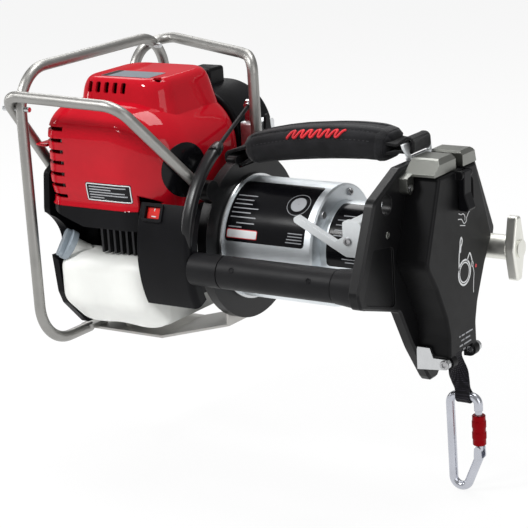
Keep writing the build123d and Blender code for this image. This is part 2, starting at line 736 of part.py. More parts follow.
with BuildPart() as carabiner_sleeve:
    with BuildSketch(Plane.XY.offset(gate_pivot + GATE_R + 1)):
        with Locations((gate_x, 0)):
            Circle(SLEEVE_R)
    extrude(amount=gate_top - 5 - gate_pivot - GATE_R - 1)
    chamfer(carabiner_sleeve.edges().filter_by(GeomType.CIRCLE), 0.8)
    with BuildSketch(Plane.XY.offset(gate_pivot)):
        with Locations((gate_x, 0)):
            Circle(GATE_R + RUN_GAP)
    extrude(amount=gate_top - gate_pivot, mode=Mode.SUBTRACT)
finish(carabiner_sleeve, "carabiner_sleeve")

# Gearbox: a neck on the plate, a barrel, and a planetary stage inside it


def gear_outline(teeth, turn, above, below, play, centre=(0, 0)):
    """Closed outline of a spur gear with a tooth centred on the angle turn.

    above and below are the tooth heights outside and inside the pitch circle, and
    play is taken off the tooth thickness on the pitch circle.
    """
    pitch_r = MODULE * teeth / 2
    base_r = pitch_r * cos(PRESSURE_ANGLE)
    half_at_pitch = pi / (2 * teeth) - play / (2 * pitch_r)
    involute_at_pitch = tan(PRESSURE_ANGLE) - PRESSURE_ANGLE

    def half_angle(r):
        lean = acos(min(1.0, base_r / r))
        return half_at_pitch + involute_at_pitch - (tan(lean) - lean)

    levels = [pitch_r - below, pitch_r - 0.4 * below, pitch_r, pitch_r + 0.5 * above, pitch_r + above]
    flank = [(r, half_angle(r)) for r in levels]
    polar = []
    for tooth in range(teeth):
        middle = turn + tooth * 2 * pi / teeth
        polar += [(r, middle - half) for r, half in flank]
        polar += [(r, middle + half) for r, half in reversed(flank)]
    return [(centre[0] + r * cos(a), centre[1] + r * sin(a)) for r, a in polar]


gear_back = GEARBOX_BACK + 12
gear_front = gear_back + GEAR_WIDTH
carrier_back = gear_front + 4
carrier_front = carrier_back + CARRIER_THICK
barrel_bore = GEARBOX_R - GEARBOX_WALL
addendum = MODULE
dedendum = 1.25 * MODULE

with BuildPart() as gearbox_neck:
    with BuildSketch(across(GEARBOX_FRONT)):
        Circle(NECK_R)
        Circle(NECK_R - NECK_WALL, mode=Mode.SUBTRACT)
    extrude(amount=PLATE_BACK - GEARBOX_FRONT)
finish(gearbox_neck, "gearbox_neck")

with BuildPart() as gearbox_housing:
    with BuildSketch(across(GEARBOX_BACK)):
        Circle(GEARBOX_R)
    extrude(amount=GEARBOX_LENGTH)
    chamfer(gearbox_housing.faces().sort_by(Axis.X)[-1].edges(), 2)
    with BuildSketch(across(GEARBOX_BACK)):
        Circle(barrel_bore)
    extrude(amount=GEARBOX_LENGTH - 8, mode=Mode.SUBTRACT)
    with BuildSketch(across(GEARBOX_BACK)):
        Circle(SHAFT_R + RUN_GAP)
    extrude(amount=GEARBOX_LENGTH, mode=Mode.SUBTRACT)
finish(gearbox_housing, "gearbox_housing")

with BuildPart() as ring_gear:
    with BuildSketch(across(gear_back)):
        Circle(barrel_bore - SEAT_GAP)
        with BuildLine():
            Polyline(*gear_outline(RING_TEETH, 0, dedendum, 0.9 * MODULE, -BACKLASH), close=True)
        make_face(mode=Mode.SUBTRACT)
    extrude(amount=GEAR_WIDTH)
finish(ring_gear, "ring_gear")

planet_turns = [pi / 2 + i * 2 * pi / PLANET_COUNT for i in range(PLANET_COUNT)]
for i, around in enumerate(planet_turns):
    place = (PLANET_ORBIT * cos(around), PLANET_ORBIT * sin(around))
    meshing = around * (1 + SUN_TEETH / PLANET_TEETH) + pi - pi / PLANET_TEETH
    teeth = gear_outline(PLANET_TEETH, meshing, addendum, dedendum, BACKLASH, place)
    with BuildPart() as planet_gear:
        with BuildSketch(across(gear_back)):
            with BuildLine():
                Polyline(*teeth, close=True)
            make_face()
            with Locations(place):
                Circle(PLANET_PIN_R + RUN_GAP, mode=Mode.SUBTRACT)
        extrude(amount=GEAR_WIDTH)
    finish(planet_gear, f"planet_gear_{i + 1}")

# Output shaft with the planet carrier on its end, and the nut that holds the sheave

with BuildPart() as output_shaft:
    with BuildSketch(across(carrier_back)):
        Circle(PLANET_ORBIT + PLANET_PIN_R + 5)
    extrude(amount=CARRIER_THICK)
    with BuildSketch(across(carrier_front)):
        Circle(SHAFT_R)
    extrude(amount=half_width - carrier_front)
    with BuildSketch(across(half_width)):
        Circle(STUD_R)
    extrude(amount=NUT_THICK)
    with BuildSketch(across(carrier_back)):
        with PolarLocations(PLANET_ORBIT, PLANET_COUNT, start_angle=90):
            Circle(PLANET_PIN_R)
    extrude(amount=gear_back - carrier_back)
finish(output_shaft, "output_shaft")

with BuildPart() as shaft_nut:
    with BuildSketch(across(half_width)):
        RegularPolygon(SHAFT_R + 3, 6)
        Circle(STUD_R + SEAT_GAP, mode=Mode.SUBTRACT)
    extrude(amount=NUT_THICK)
finish(shaft_nut, "shaft_nut")

# Sun gear on its shaft, which carries the clutch drum at the other end

drum_front = FLANGE_BACK - 8
with BuildPart() as sun_shaft:
    with BuildSketch(across(gear_back)):
        with BuildLine():
            Polyline(*gear_outline(SUN_TEETH, 0, addendum, dedendum, BACKLASH), close=True)
        make_face()
    extrude(amount=GEAR_WIDTH)
    with BuildSketch(across(drum_front - DRUM_WALL)):
        Circle(SUN_SHAFT_R)
    extrude(amount=gear_back - drum_front + DRUM_WALL)
finish(sun_shaft, "sun_shaft")

with BuildPart() as clutch_drum:
    with BuildSketch(across(drum_front)):
        Circle(DRUM_R)
    extrude(amount=-DRUM_LENGTH)
    with BuildSketch(across(drum_front - DRUM_WALL)):
        Circle(DRUM_R - DRUM_WALL)
    extrude(amount=-DRUM_LENGTH, mode=Mode.SUBTRACT)
    with BuildSketch(across(drum_front)):
        Circle(SUN_SHAFT_R + SEAT_GAP)
    extrude(amount=-DRUM_LENGTH, mode=Mode.SUBTRACT)
finish(clutch_drum, "clutch_drum")

# Coupling flange: closes the gearbox and carries the rails and the strap

with BuildPart() as coupling_flange:
    with BuildSketch(across(FLANGE_BACK)):
        Circle(FLANGE_R)
        with Locations(RAIL_END_LEFT, RAIL_END_RIGHT):
            Circle(LUG_R)
        with Locations((0, STRAP_LUG_TOP - 15)):
            RectangleRounded(56, 30, 5)
        with Locations((0, STRAP_SLOT_Z)):
            RectangleRounded(44, 7, 3, mode=Mode.SUBTRACT)
        Circle(SUN_SHAFT_R + RUN_GAP, mode=Mode.SUBTRACT)
    extrude(amount=FLANGE_THICK)
finish(coupling_flange, "coupling_flange")

with BuildPart() as clutch_housing:
    with BuildSketch(beside(0)):
        Polygon(
            (ENGINE_FACE, CRANK_R + RUN_GAP), (ENGINE_FACE, CLUTCH_R), (FLANGE_BACK, CLUTCH_R - 6),
            (FLANGE_BACK, CLUTCH_R - 6 - CLUTCH_WALL),
            (ENGINE_FACE + CLUTCH_WALL, CLUTCH_R - 2 * CLUTCH_WALL),
            (ENGINE_FACE + CLUTCH_WALL, CRANK_R + RUN_GAP), align=None,
        )
    revolve(axis=Axis.X)
finish(clutch_housing, "clutch_housing")

# Crankshaft with its flywheel, and the clutch shoes it throws against the drum

shoe_back = drum_front - DRUM_LENGTH + 2
shoe_front = drum_front - DRUM_WALL - 3
shoe_r = DRUM_R - DRUM_WALL - 1
flywheel_back = CASE_LEFT - 4 - FLYWHEEL_THICK
with BuildPart() as crankshaft:
    with BuildSketch(across(flywheel_back)):
        Circle(CRANK_R)
    extrude(amount=shoe_front - flywheel_back)
    with BuildSketch(across(flywheel_back)):
        Circle(FLYWHEEL_R)
    extrude(amount=FLYWHEEL_THICK)
    with BuildSketch(across(flywheel_back + 6)):
        with PolarLocations(FLYWHEEL_R - 14, 12):
            SlotOverall(18, 5, rotation=20)
    extrude(amount=FLYWHEEL_THICK, mode=Mode.SUBTRACT)
finish(crankshaft, "crankshaft")

with BuildPart() as clutch_shoes:
    with BuildSketch(across(shoe_back)):
        Circle(shoe_r)
        Circle(shoe_r - 12, mode=Mode.SUBTRACT)
        Rectangle(2 * shoe_r, 14, mode=Mode.SUBTRACT)
        Circle(CRANK_R + 7)
        Rectangle(16, 2 * shoe_r - 12)
        Circle(CRANK_R + SEAT_GAP, mode=Mode.SUBTRACT)
    extrude(amount=shoe_front - shoe_back)
finish(clutch_shoes, "clutch_shoes")

# Shroud over the coupling: part of a cylinder with an end wall, a tail and a switch


def ring_sector(r_in, r_out, start, size):
    """Sector of a ring about the local origin, with its angles in degrees."""
    with BuildSketch() as sector:
        with BuildLine():
            outer = CenterArc((0, 0), r_out, start, size)
            inner = CenterArc((0, 0), r_in, start, size)
            Line(outer @ 0, inner @ 0)
            Line(outer @ 1, inner @ 1)
        make_face()
    return sector.sketch


shroud_back = GEARBOX_BACK - SHROUD_LENGTH
# The tail's inside stays clear of the left rail's lug on the flange
lug_reach = sqrt(RAIL_END_LEFT[0] ** 2 + RAIL_END_LEFT[1] ** 2) + LUG_R
tail_in = max(SHROUD_R - TAIL_DEPTH, lug_reach + BODY_GAP)
tail_middle = (tail_in + SHROUD_R) / 2
switch_out = (0, cos(radians(SWITCH_TURN)), sin(radians(SWITCH_TURN)))
switch_plane = Plane(
    origin=(SWITCH_X, SHROUD_R * switch_out[1], SHROUD_R * switch_out[2]),
    x_dir=(1, 0, 0), z_dir=switch_out,
)
cable_start = Vector(
    GEARBOX_BACK - TAIL_WIDTH / 2,
    tail_middle * cos(radians(TAIL_LOW)), tail_middle * sin(radians(TAIL_LOW)),
)
cable_dir = (CABLE_END - cable_start).normalized()
with BuildPart() as coupling_shroud:
    with BuildSketch(across(shroud_back)):
        add(ring_sector(SHROUD_R - SHROUD_WALL, SHROUD_R, SHROUD_LOW, SHROUD_SWEEP))
    extrude(amount=SHROUD_LENGTH)
    with BuildSketch(across(GEARBOX_BACK - SHROUD_WALL)):
        add(ring_sector(SHROUD_R - SHROUD_LIP, SHROUD_R, SHROUD_LOW, SHROUD_SWEEP))
    extrude(amount=SHROUD_WALL)
    ridge = coupling_shroud.faces().sort_by(Axis.X)[-1].edges().filter_by(GeomType.CIRCLE)
    fillet(ridge.sort_by(SortBy.RADIUS)[-1], 7)
    # Tabs that sit on the back of the flange
    for start in (SHROUD_LOW + 8, SHROUD_LOW + SHROUD_SWEEP - 20):
        with BuildSketch(across(FLANGE_BACK)):
            add(ring_sector(FLANGE_R - 14, SHROUD_R - 1, start, 12))
        extrude(amount=-SHROUD_WALL)
    # Tail that leads the throttle cable up to its boot
    with BuildSketch(across(GEARBOX_BACK - TAIL_WIDTH)):
        add(ring_sector(tail_in, SHROUD_R, TAIL_LOW, SHROUD_LOW + 6 - TAIL_LOW))
    extrude(amount=TAIL_WIDTH)
    with BuildSketch(Plane(origin=cable_start - cable_dir * 4, z_dir=cable_dir)):
        Circle(7)
    extrude(amount=BOOT_LENGTH, taper=8)
    # Switch bezel with its window
    with BuildSketch(switch_plane.offset(-SHROUD_WALL - 2)):
        RectangleRounded(SWITCH_LONG + 7, SWITCH_WIDE + 7, 3)
    extrude(amount=SHROUD_WALL + 4)
    with BuildSketch(switch_plane.offset(-SHROUD_WALL - 4)):
        Rectangle(SWITCH_LONG, SWITCH_WIDE)
    extrude(amount=SHROUD_WALL + 10, mode=Mode.SUBTRACT)
finish(coupling_shroud, "coupling_shroud")

with BuildPart() as stop_switch:
    with BuildSketch(Plane(origin=switch_plane.origin, x_dir=switch_plane.y_dir, z_dir=(1, 0, 0))):
        Circle(SWITCH_WIDE / 2 - BODY_GAP)
        with Locations((0, -SWITCH_WIDE / 2 - 2)):
            Rectangle(2 * SWITCH_WIDE, SWITCH_WIDE, mode=Mode.INTERSECT)
    extrude(amount=SWITCH_LONG / 2 - BODY_GAP, both=True)
finish(stop_switch, "stop_switch")

with BuildPart() as throttle_cable:
    with BuildSketch(Plane(origin=cable_start + cable_dir * (BOOT_LENGTH - 4), z_dir=cable_dir)):
        Circle(CABLE_R)
    extrude(amount=(CABLE_END - cable_start).length - BOOT_LENGTH + 4)
finish(throttle_cable, "throttle_cable")

# Twist grip on its tube, between two collars

grip_axis = Plane(origin=(0, GRIP_Y, GRIP_Z), x_dir=(0, 1, 0), z_dir=(1, 0, 0))
with BuildPart() as grip_tube:
    with BuildSketch(grip_axis.offset(GEARBOX_BACK)):
        Circle(GRIP_TUBE_R)
        Circle(GRIP_TUBE_R - 3, mode=Mode.SUBTRACT)
    extrude(amount=PLATE_BACK - GEARBOX_BACK)
finish(grip_tube, "grip_tube")

with BuildPart() as twist_grip:
    with BuildSketch(grip_axis.offset(GRIP_START)):
        Circle(GRIP_R)
        Circle(GRIP_TUBE_R + RUN_GAP, mode=Mode.SUBTRACT)
    extrude(amount=GRIP_END - GRIP_START)
    chamfer(twist_grip.edges().filter_by(GeomType.CIRCLE).sort_by(SortBy.RADIUS)[-2:], 1)
finish(twist_grip, "twist_grip")

with BuildPart() as grip_collars:
    with BuildSketch(grip_axis.offset(GEARBOX_BACK)):
        Circle(GRIP_R)
    extrude(amount=GRIP_START - BODY_GAP - GEARBOX_BACK)
    with BuildSketch(grip_axis.offset(PLATE_BACK)):
        Circle(GRIP_R + 4)
    extrude(amount=GRIP_END + BODY_GAP - PLATE_BACK, taper=6)
    with BuildSketch(grip_axis.offset(GEARBOX_BACK)):
        Circle(GRIP_TUBE_R + SEAT_GAP)
    extrude(amount=PLATE_BACK - GEARBOX_BACK, mode=Mode.SUBTRACT)
finish(grip_collars, "grip_collars")

# Descent lever on the neck

lever_in = LEVER_OUT + LEVER_THICK
block_in = lever_in + BODY_GAP
with BuildPart() as lever_bracket:
    with BuildSketch(beside(block_in)):
        with Locations(LEVER_BLOCK_AT):
            RectangleRounded(LEVER_BLOCK[0] - 2, LEVER_BLOCK[1] - 2, 4)
    extrude(amount=block_in + NECK_R - 20)
    with BuildSketch(across(GEARBOX_FRONT)):
        Circle(NECK_R + SEAT_GAP)
    extrude(amount=PLATE_BACK - GEARBOX_FRONT, mode=Mode.SUBTRACT)
    with BuildSketch(beside(block_in)):
        with Locations(LEVER_PIVOT):
            Circle(LEVER_PIN_R)
    extrude(amount=block_in - LEVER_OUT)
finish(lever_bracket, "lever_bracket")

with BuildPart() as descent_lever:
    with BuildSketch(beside(lever_in)):
        with Locations(LEVER_BLOCK_AT):
            RectangleRounded(*LEVER_BLOCK, 4)
        with BuildLine():
            Line(LEVER_ROOT, LEVER_TIP)
            offset(amount=LEVER_BAR / 2, side=Side.BOTH)
        make_face()
        # Web in the throat between the bar and the block
        with BuildLine():
            Polyline(
                LEVER_ROOT, (LEVER_ROOT[0] - 20, LEVER_ROOT[1] + 10.2),
                (LEVER_ROOT[0] - 12, LEVER_ROOT[1] + 11), (LEVER_ROOT[0] - 2, LEVER_ROOT[1] + 17), close=True,
            )
        make_face()
        with Locations(LEVER_PIVOT):
            Circle(LEVER_PIN_R + RUN_GAP, mode=Mode.SUBTRACT)
    extrude(amount=LEVER_THICK)
finish(descent_lever, "descent_lever")

# Engine: crankcase with its cylinder block, cooling fins and the intake duct

block_left = CASE_LEFT + 20
block_right = ENGINE_FACE - 12
block_middle = ((block_left + block_right) / 2, (BLOCK_BACK - CASE_HALF) / 2)
intake_left = ENGINE_FACE - 4 - INTAKE_WIDTH
fin_top = LOWER_FLOOR - 1
fin_bottom = TANK_TOP + 3
intake_duct = [
    (CASE_HALF - 1, -10), (CASE_HALF + 24, -10), (CASE_HALF + 24, CLEANER_BOTTOM),
    (CASE_HALF + 4, CLEANER_BOTTOM), (CASE_HALF + 4, 20), (CASE_HALF - 1, 20),
]


def block_plan(gap):
    """Plan of the cylinder block, grown by a gap."""
    with BuildSketch() as plan:
        with Locations(block_middle):
            RectangleRounded(block_right - block_left + 2 * gap, BLOCK_BACK + CASE_HALF + 2 * gap, 8)
    return plan.sketch


with BuildPart() as crankcase:
    with BuildSketch(across(CASE_LEFT)):
        with Locations((0, (CASE_BOTTOM + LOWER_FLOOR) / 2)):
            RectangleRounded(2 * CASE_HALF, LOWER_FLOOR - CASE_BOTTOM, 14)
    extrude(amount=ENGINE_FACE - CASE_LEFT)
    with BuildSketch(Plane.XY):
        add(block_plan(0))
    extrude(amount=BLOCK_TOP)
    with BuildSketch(beside(1 - CASE_HALF)):
        with Locations((block_middle[0] + 4, (fin_bottom + fin_top) / 2)):
            with GridLocations(FIN_PITCH, 1, FIN_COUNT, 1):
                Rectangle(FIN_THICK, fin_top - fin_bottom)
    extrude(amount=FIN_DEPTH + 1)
    with BuildSketch(across(intake_left)):
        with BuildLine():
            FilletPolyline(*intake_duct, radius=[1, 14, 2, 2, 3, 1], close=True)
        make_face()
    extrude(amount=INTAKE_WIDTH)
    with BuildSketch(across(CASE_LEFT)):
        Circle(CRANK_R + RUN_GAP)
    extrude(amount=ENGINE_FACE - CASE_LEFT, mode=Mode.SUBTRACT)
finish(crankcase, "crankcase")

# Red cover over the muffler and the cylinder: a soft swelling with a hump, made into one thin shell

relief_r = CLUTCH_R + 3
hump_near = COVER_NEAR + HUMP_STATIONS[2][3]


def plan_outline(x0, x1, y0, y1, corners):
    """Plan between two corners, with radii for its near left, near right, far right and far left."""
    with BuildSketch() as plan:
        with BuildLine():
            FilletPolyline((x0, y0), (x1, y0), (x1, y1), (x0, y1), radius=corners, close=True)
        make_face()
    return plan.sketch


def lean_in(height, top, draw, drop):
    """How far a wall has leaned in at a height, along a quarter of an ellipse below the top."""
    share = min(1.0, max(0.0, (height - top + drop) / drop))
    return draw * (1 - sqrt(1 - share * share))


def cover_form(inset):
    """Main swelling of the cover, drawn in by inset on every side but the open bottom."""
    top = COVER_TOP - inset
    with BuildPart() as form:
        for level in COVER_LEVELS:
            height = COVER_BOTTOM + level * (top - COVER_BOTTOM)
            lean = [lean_in(height, top, draw, drop) for draw, drop in zip(COVER_DRAW, COVER_DROP)]
            left, near, right, far = lean
            beside_corner = [left + near, near + right, right + far, far + left]
            corners = [
                max(12.0, corner - 0.4 * leaned) - inset
                for corner, leaned in zip(COVER_CORNERS, beside_corner)
            ]
            with BuildSketch(Plane.XY.offset(height)):
                add(plan_outline(
                    COVER_LEFT + left + inset, COVER_RIGHT - right - inset,
                    COVER_NEAR + near + inset, COVER_FAR - far - inset, corners,
                ))
        loft()
    return form.part


def hump_form(inset):
    """Hump on top of the cover, drawn in by inset."""
    with BuildPart() as form:
        for rise, left, right, near, far, corner in HUMP_STATIONS:
            with BuildSketch(Plane.XY.offset(COVER_TOP + rise - inset)):
                add(plan_outline(
                    COVER_LEFT + left + inset, COVER_RIGHT - right - inset,
                    COVER_NEAR + near + inset, COVER_FAR - far - inset, 4 * [corner - inset],
                ))
        loft()
    return form.part


def clearance_form():
    """Room that the covers leave for the flywheel ring, the clutch housing and the shroud."""
    with BuildPart() as room:
        for start, end in ((REAR_BACK, CASE_LEFT + 2), (ENGINE_FACE - 2, FLANGE_BACK)):
            with BuildSketch(across(start)):
                Circle(relief_r)
            extrude(amount=end - start)
        with BuildSketch(across(shroud_back - 2)):
            add(ring_sector(SHROUD_R - 12, SHROUD_R + 30, SHROUD_LOW - 2, SHROUD_SWEEP + 4))
        extrude(amount=SHROUD_LENGTH)
    return room.part


with BuildPart() as engine_cover:
    add(cover_form(0))
    add(hump_form(0))
    add(cover_form(COVER_WALL), mode=Mode.SUBTRACT)
    add(hump_form(COVER_WALL), mode=Mode.SUBTRACT)
    # Louvres round the near left corner, vents in the hump and a hole beside its top
    with BuildSketch(beside(COVER_NEAR + LOUVRE_DEPTH)):
        with Locations((COVER_LEFT - 5 + (LOUVRE_LONG + 5) / 2, COVER_BOTTOM + LOUVRE_RISE)):
            with GridLocations(1, LOUVRE_PITCH, 1, LOUVRE_COUNT):
                Rectangle(LOUVRE_LONG + 5, LOUVRE_HEIGHT)
    extrude(amount=LOUVRE_DEPTH + 5, mode=Mode.SUBTRACT)
    with BuildSketch(beside(hump_near)):
        with Locations((COVER_LEFT + VENT_ALONG, COVER_TOP + VENT_HEIGHT + 2)):
            with GridLocations(VENT_PITCH, 1, VENT_COUNT, 1):
                RectangleRounded(VENT_WIDTH, VENT_HEIGHT, 2)
    extrude(amount=10, both=True, mode=Mode.SUBTRACT)
    with BuildSketch(Plane.XY.offset(COVER_TOP + HUMP_STATIONS[-1][0])):
        with Locations((COVER_RIGHT - HUMP_STATIONS[2][2] - 14, hump_near + 17)):
            Circle(5)
    extrude(amount=-12, mode=Mode.SUBTRACT)
    add(clearance_form(), mode=Mode.SUBTRACT)
finish(engine_cover, "engine_cover")

# Black shroud below the cover, with a floor that fits round the cylinder block


def lower_form(inset):
    """Lower shroud, with a floor that rises towards its left end, drawn in by inset."""
    floor = LOWER_FLOOR + inset
    with BuildPart() as form:
        with BuildSketch(Plane.XY.offset(floor)):
            add(plan_outline(
                COVER_LEFT + 1 + inset, COVER_RIGHT - 1 - inset,
                COVER_NEAR + 1 + inset, COVER_FAR - 1 - inset,
                [corner - 1 - inset for corner in COVER_CORNERS],
            ))
        extrude(amount=COVER_BOTTOM - floor)
        with BuildSketch(beside(0)):
            Polygon(
                (COVER_LEFT, COVER_BOTTOM - 4 + inset), (COVER_LEFT + LOWER_KNEE, floor), (COVER_LEFT, floor),
                align=None,
            )
        extrude(amount=2 * CASE_HALF + COVER_FAR, both=True, mode=Mode.SUBTRACT)
    return form.part


with BuildPart() as lower_shroud:
    add(lower_form(0))
    add(lower_form(COVER_WALL), mode=Mode.SUBTRACT)
    with BuildSketch(Plane.XY):
        add(block_plan(SEAT_GAP))
    extrude(amount=BLOCK_TOP, mode=Mode.SUBTRACT)
    add(clearance_form(), mode=Mode.SUBTRACT)
finish(lower_shroud, "lower_shroud")

muffler_left = COVER_LEFT + 17
muffler_right = COVER_RIGHT - MUFFLER_SHORT
muffler_bottom = COVER_BOTTOM + 8
muffler_top = COVER_TOP - MUFFLER_DROP
with BuildPart() as muffler:
    with BuildSketch(beside(-CASE_HALF)):
        with Locations(((muffler_left + muffler_right) / 2, (muffler_bottom + muffler_top) / 2)):
            RectangleRounded(muffler_right - muffler_left, muffler_top - muffler_bottom, 14)
    extrude(amount=-CASE_HALF - COVER_NEAR - 10)
    fillet(muffler.faces().sort_by(Axis.Y)[0].edges(), 8)
finish(muffler, "muffler")

# Air cleaner, carburettor and the throttle cable's adjuster

cleaner_left = COVER_LEFT + 60
cleaner_right = COVER_RIGHT - 16
cleaner_near = COVER_FAR + 4
carb_front = cleaner_right + CARB_LENGTH
with BuildPart() as air_cleaner:
    with BuildSketch(beside(cleaner_near + CLEANER_DEPTH)):
        with BuildLine():
            FilletPolyline(
                (cleaner_left, CLEANER_BOTTOM), (cleaner_right, CLEANER_BOTTOM),
                (cleaner_right, CLEANER_TOP), (cleaner_left, CLEANER_TOP),
                radius=[9, 9, CLEANER_ROUND, 20], close=True,
            )
        make_face()
    extrude(amount=CLEANER_DEPTH)
    fillet(air_cleaner.faces().sort_by(Axis.Y)[0].edges(), 5)
    fillet(air_cleaner.faces().sort_by(Axis.Y)[-1].edges(), 8)
    # Catch on top
    with BuildSketch(Plane.XY.offset(CLEANER_TOP - 3)):
        with Locations((cleaner_left + CATCH_AT[0], cleaner_near + CATCH_AT[1])):
            RectangleRounded(33, 34, 5)
    extrude(amount=22)
    fillet(air_cleaner.faces().sort_by(Axis.Z)[-1].edges(), 4)
finish(air_cleaner, "air_cleaner")

with BuildPart() as carburettor:
    with BuildSketch(across(cleaner_right)):
        with Locations((cleaner_near + 20, (CLEANER_BOTTOM + 6 + CARB_TOP) / 2)):
            RectangleRounded(36, CARB_TOP - CLEANER_BOTTOM - 6, 4)
    extrude(amount=CARB_LENGTH)
    with BuildSketch(across(carb_front)):
        with Locations(THROTTLE_AT):
            Circle(THROTTLE_PIN_R + RUN_GAP)
    extrude(amount=-12, mode=Mode.SUBTRACT)
finish(carburettor, "carburettor")

with BuildPart() as throttle_lever:
    with BuildSketch(across(carb_front + BODY_GAP)):
        with Locations(THROTTLE_AT):
            Circle(7)
        with Locations((THROTTLE_AT[0], THROTTLE_AT[1] + 20)):
            Circle(4)
        make_hull()
    extrude(amount=3)
    with BuildSketch(across(carb_front + BODY_GAP)):
        with Locations(THROTTLE_AT):
            Circle(THROTTLE_PIN_R)
    extrude(amount=-10)
finish(throttle_lever, "throttle_lever")

bracket_head = CABLE_END + cable_dir * 10
with BuildPart() as cable_adjuster:
    with BuildSketch(Plane(origin=CABLE_END, z_dir=cable_dir)):
        Circle(ADJUSTER_R)
    extrude(amount=ADJUSTER_LENGTH)
    with BuildSketch(Plane(origin=CABLE_END + cable_dir * 5, z_dir=cable_dir)):
        RegularPolygon(ADJUSTER_R + 2.5, 6)
    extrude(amount=4)
    # Bracket up from the carburettor
    with BuildSketch(Plane.XY.offset(CARB_TOP)):
        with Locations((bracket_head.X, bracket_head.Y)):
            Rectangle(15, SHEET)
    extrude(amount=bracket_head.Z - CARB_TOP)
finish(cable_adjuster, "cable_adjuster")

# Fuel tank under the crankcase, with its neck and cap

tank_left = COVER_LEFT + 1
tank_right = ENGINE_FACE - 6
tank_inner = -CASE_HALF - 5
tank_outline = [
    (TANK_NEAR, TANK_TOP), (tank_inner, TANK_TOP), (tank_inner, TANK_BOTTOM), (TANK_NEAR + 32, TANK_BOTTOM),
    (TANK_NEAR, TANK_BOTTOM + 30),
]
tank_radii = [18, 13, 13, 14, 22]
cap_back = CAP_AT - CAP_AXIS * (CAP_THICK / 2)
tank_stations = [(tank_left + along, drawn) for along, drawn in TANK_ENDS]
tank_stations += [(tank_right - along, drawn) for along, drawn in reversed(TANK_ENDS)]
with BuildPart() as fuel_tank:
    # Pillow beside the crankcase
    for along, drawn in tank_stations:
        with BuildSketch(across(along)):
            with BuildLine():
                FilletPolyline(*tank_outline, radius=tank_radii, close=True)
            make_face()
            offset(amount=-drawn)
    loft()
    # Flat part under the crankcase
    with BuildSketch(Plane.XY.offset(TANK_BOTTOM)):
        with Locations(((tank_left + tank_right) / 2, (tank_inner + TANK_BACK) / 2 - 8)):
            RectangleRounded(tank_right - tank_left - 16, TANK_BACK - tank_inner + 16, 16)
    extrude(amount=CASE_BOTTOM - TANK_BOTTOM)
    fillet(fuel_tank.faces().sort_by(Axis.Z)[0].edges(), 5)
    with BuildSketch(Plane(origin=cap_back - CAP_AXIS * 22, z_dir=CAP_AXIS)):
        Circle(NECK_TUBE_R)
    extrude(amount=22 - BODY_GAP)
    # Flat seat round the neck for the cap
    with BuildSketch(Plane(origin=cap_back - CAP_AXIS * BODY_GAP, z_dir=CAP_AXIS)):
        Circle(CAP_R + 2)
    extrude(amount=2 * CAP_R, mode=Mode.SUBTRACT)
finish(fuel_tank, "fuel_tank")

with BuildPart() as fuel_cap:
    with BuildSketch(Plane(origin=cap_back, z_dir=CAP_AXIS)):
        Circle(CAP_R)
    extrude(amount=CAP_THICK - 6)
    with BuildSketch(Plane(origin=cap_back + CAP_AXIS * (CAP_THICK - 6), z_dir=CAP_AXIS)):
        RectangleRounded(2 * CAP_R - 2, 12, 4)
    extrude(amount=6)
finish(fuel_cap, "fuel_cap")

# Rear housing: an end plate with the starter dome and a ring round the flywheel

boss_end = RAIL_X + TAB_THICK / 2
ring_r = FLYWHEEL_R + 10
with BuildPart() as rear_housing:
    with BuildSketch(across(REAR_BACK)):
        with BuildLine():
            FilletPolyline(*mirrored(REAR_HALF), radius=8, close=True)
        make_face()
    extrude(amount=REAR_FRONT - REAR_BACK)
    with BuildSketch(across(REAR_FRONT)):
        Circle(ring_r)
        Circle(ring_r - 5, mode=Mode.SUBTRACT)
    extrude(amount=CASE_LEFT - REAR_FRONT)
    with BuildSketch(across(REAR_BACK)):
        with Locations((0, DOME_Z)):
            Circle(DOME_R)
    extrude(amount=-DOME_DEPTH, taper=12)
    with BuildSketch(across(REAR_BACK)):
        with Locations(BOSS_END_AT, (-BOSS_END_AT[0], BOSS_END_AT[1])):
            Circle(RAIL_BOSS_R)
    extrude(amount=boss_end - REAR_BACK)
    # Clear round for the fuel cap
    with BuildSketch(Plane(origin=CAP_AT - CAP_AXIS * 40, z_dir=CAP_AXIS)):
        Circle(CAP_R + 4)
    extrude(amount=80, mode=Mode.SUBTRACT)
finish(rear_housing, "rear_housing")

handle_front = REAR_BACK - DOME_DEPTH - BODY_GAP
with BuildPart() as recoil_handle:
    with BuildSketch(across(handle_front)):
        with Locations((0, DOME_Z)):
            RectangleRounded(70, 16, 6)
    extrude(amount=-14)
    fillet(recoil_handle.faces().sort_by(Axis.X)[0].edges(), 4)
finish(recoil_handle, "recoil_handle")

# Cage: an upright hoop behind the engine and two bent rails, bolted together

bracket_top = HOOP_BOTTOM - 1
hoop_points = [
    (HOOP_X, -HOOP_END, HOOP_BOTTOM), (HOOP_X, -HOOP_HALF, HOOP_BOTTOM), (HOOP_X, -HOOP_HALF, HOOP_TOP),
    (HOOP_X, HOOP_HALF, HOOP_TOP), (HOOP_X, HOOP_HALF, HOOP_BOTTOM), (HOOP_X, HOOP_END, HOOP_BOTTOM),
]
hoop_bends = [HOOP_BEND + 4, HOOP_BEND, HOOP_BEND, HOOP_BEND + 4]


def bent_tube(points, bends):
    """Cage tube along straight runs joined by bends of the given radii."""
    with BuildPart() as bent:
        with BuildLine() as path:
            FilletPolyline(*points, radius=bends)
        with BuildSketch(path.line ^ 0):
            Circle(TUBE_R)
        sweep()
    return bent.part


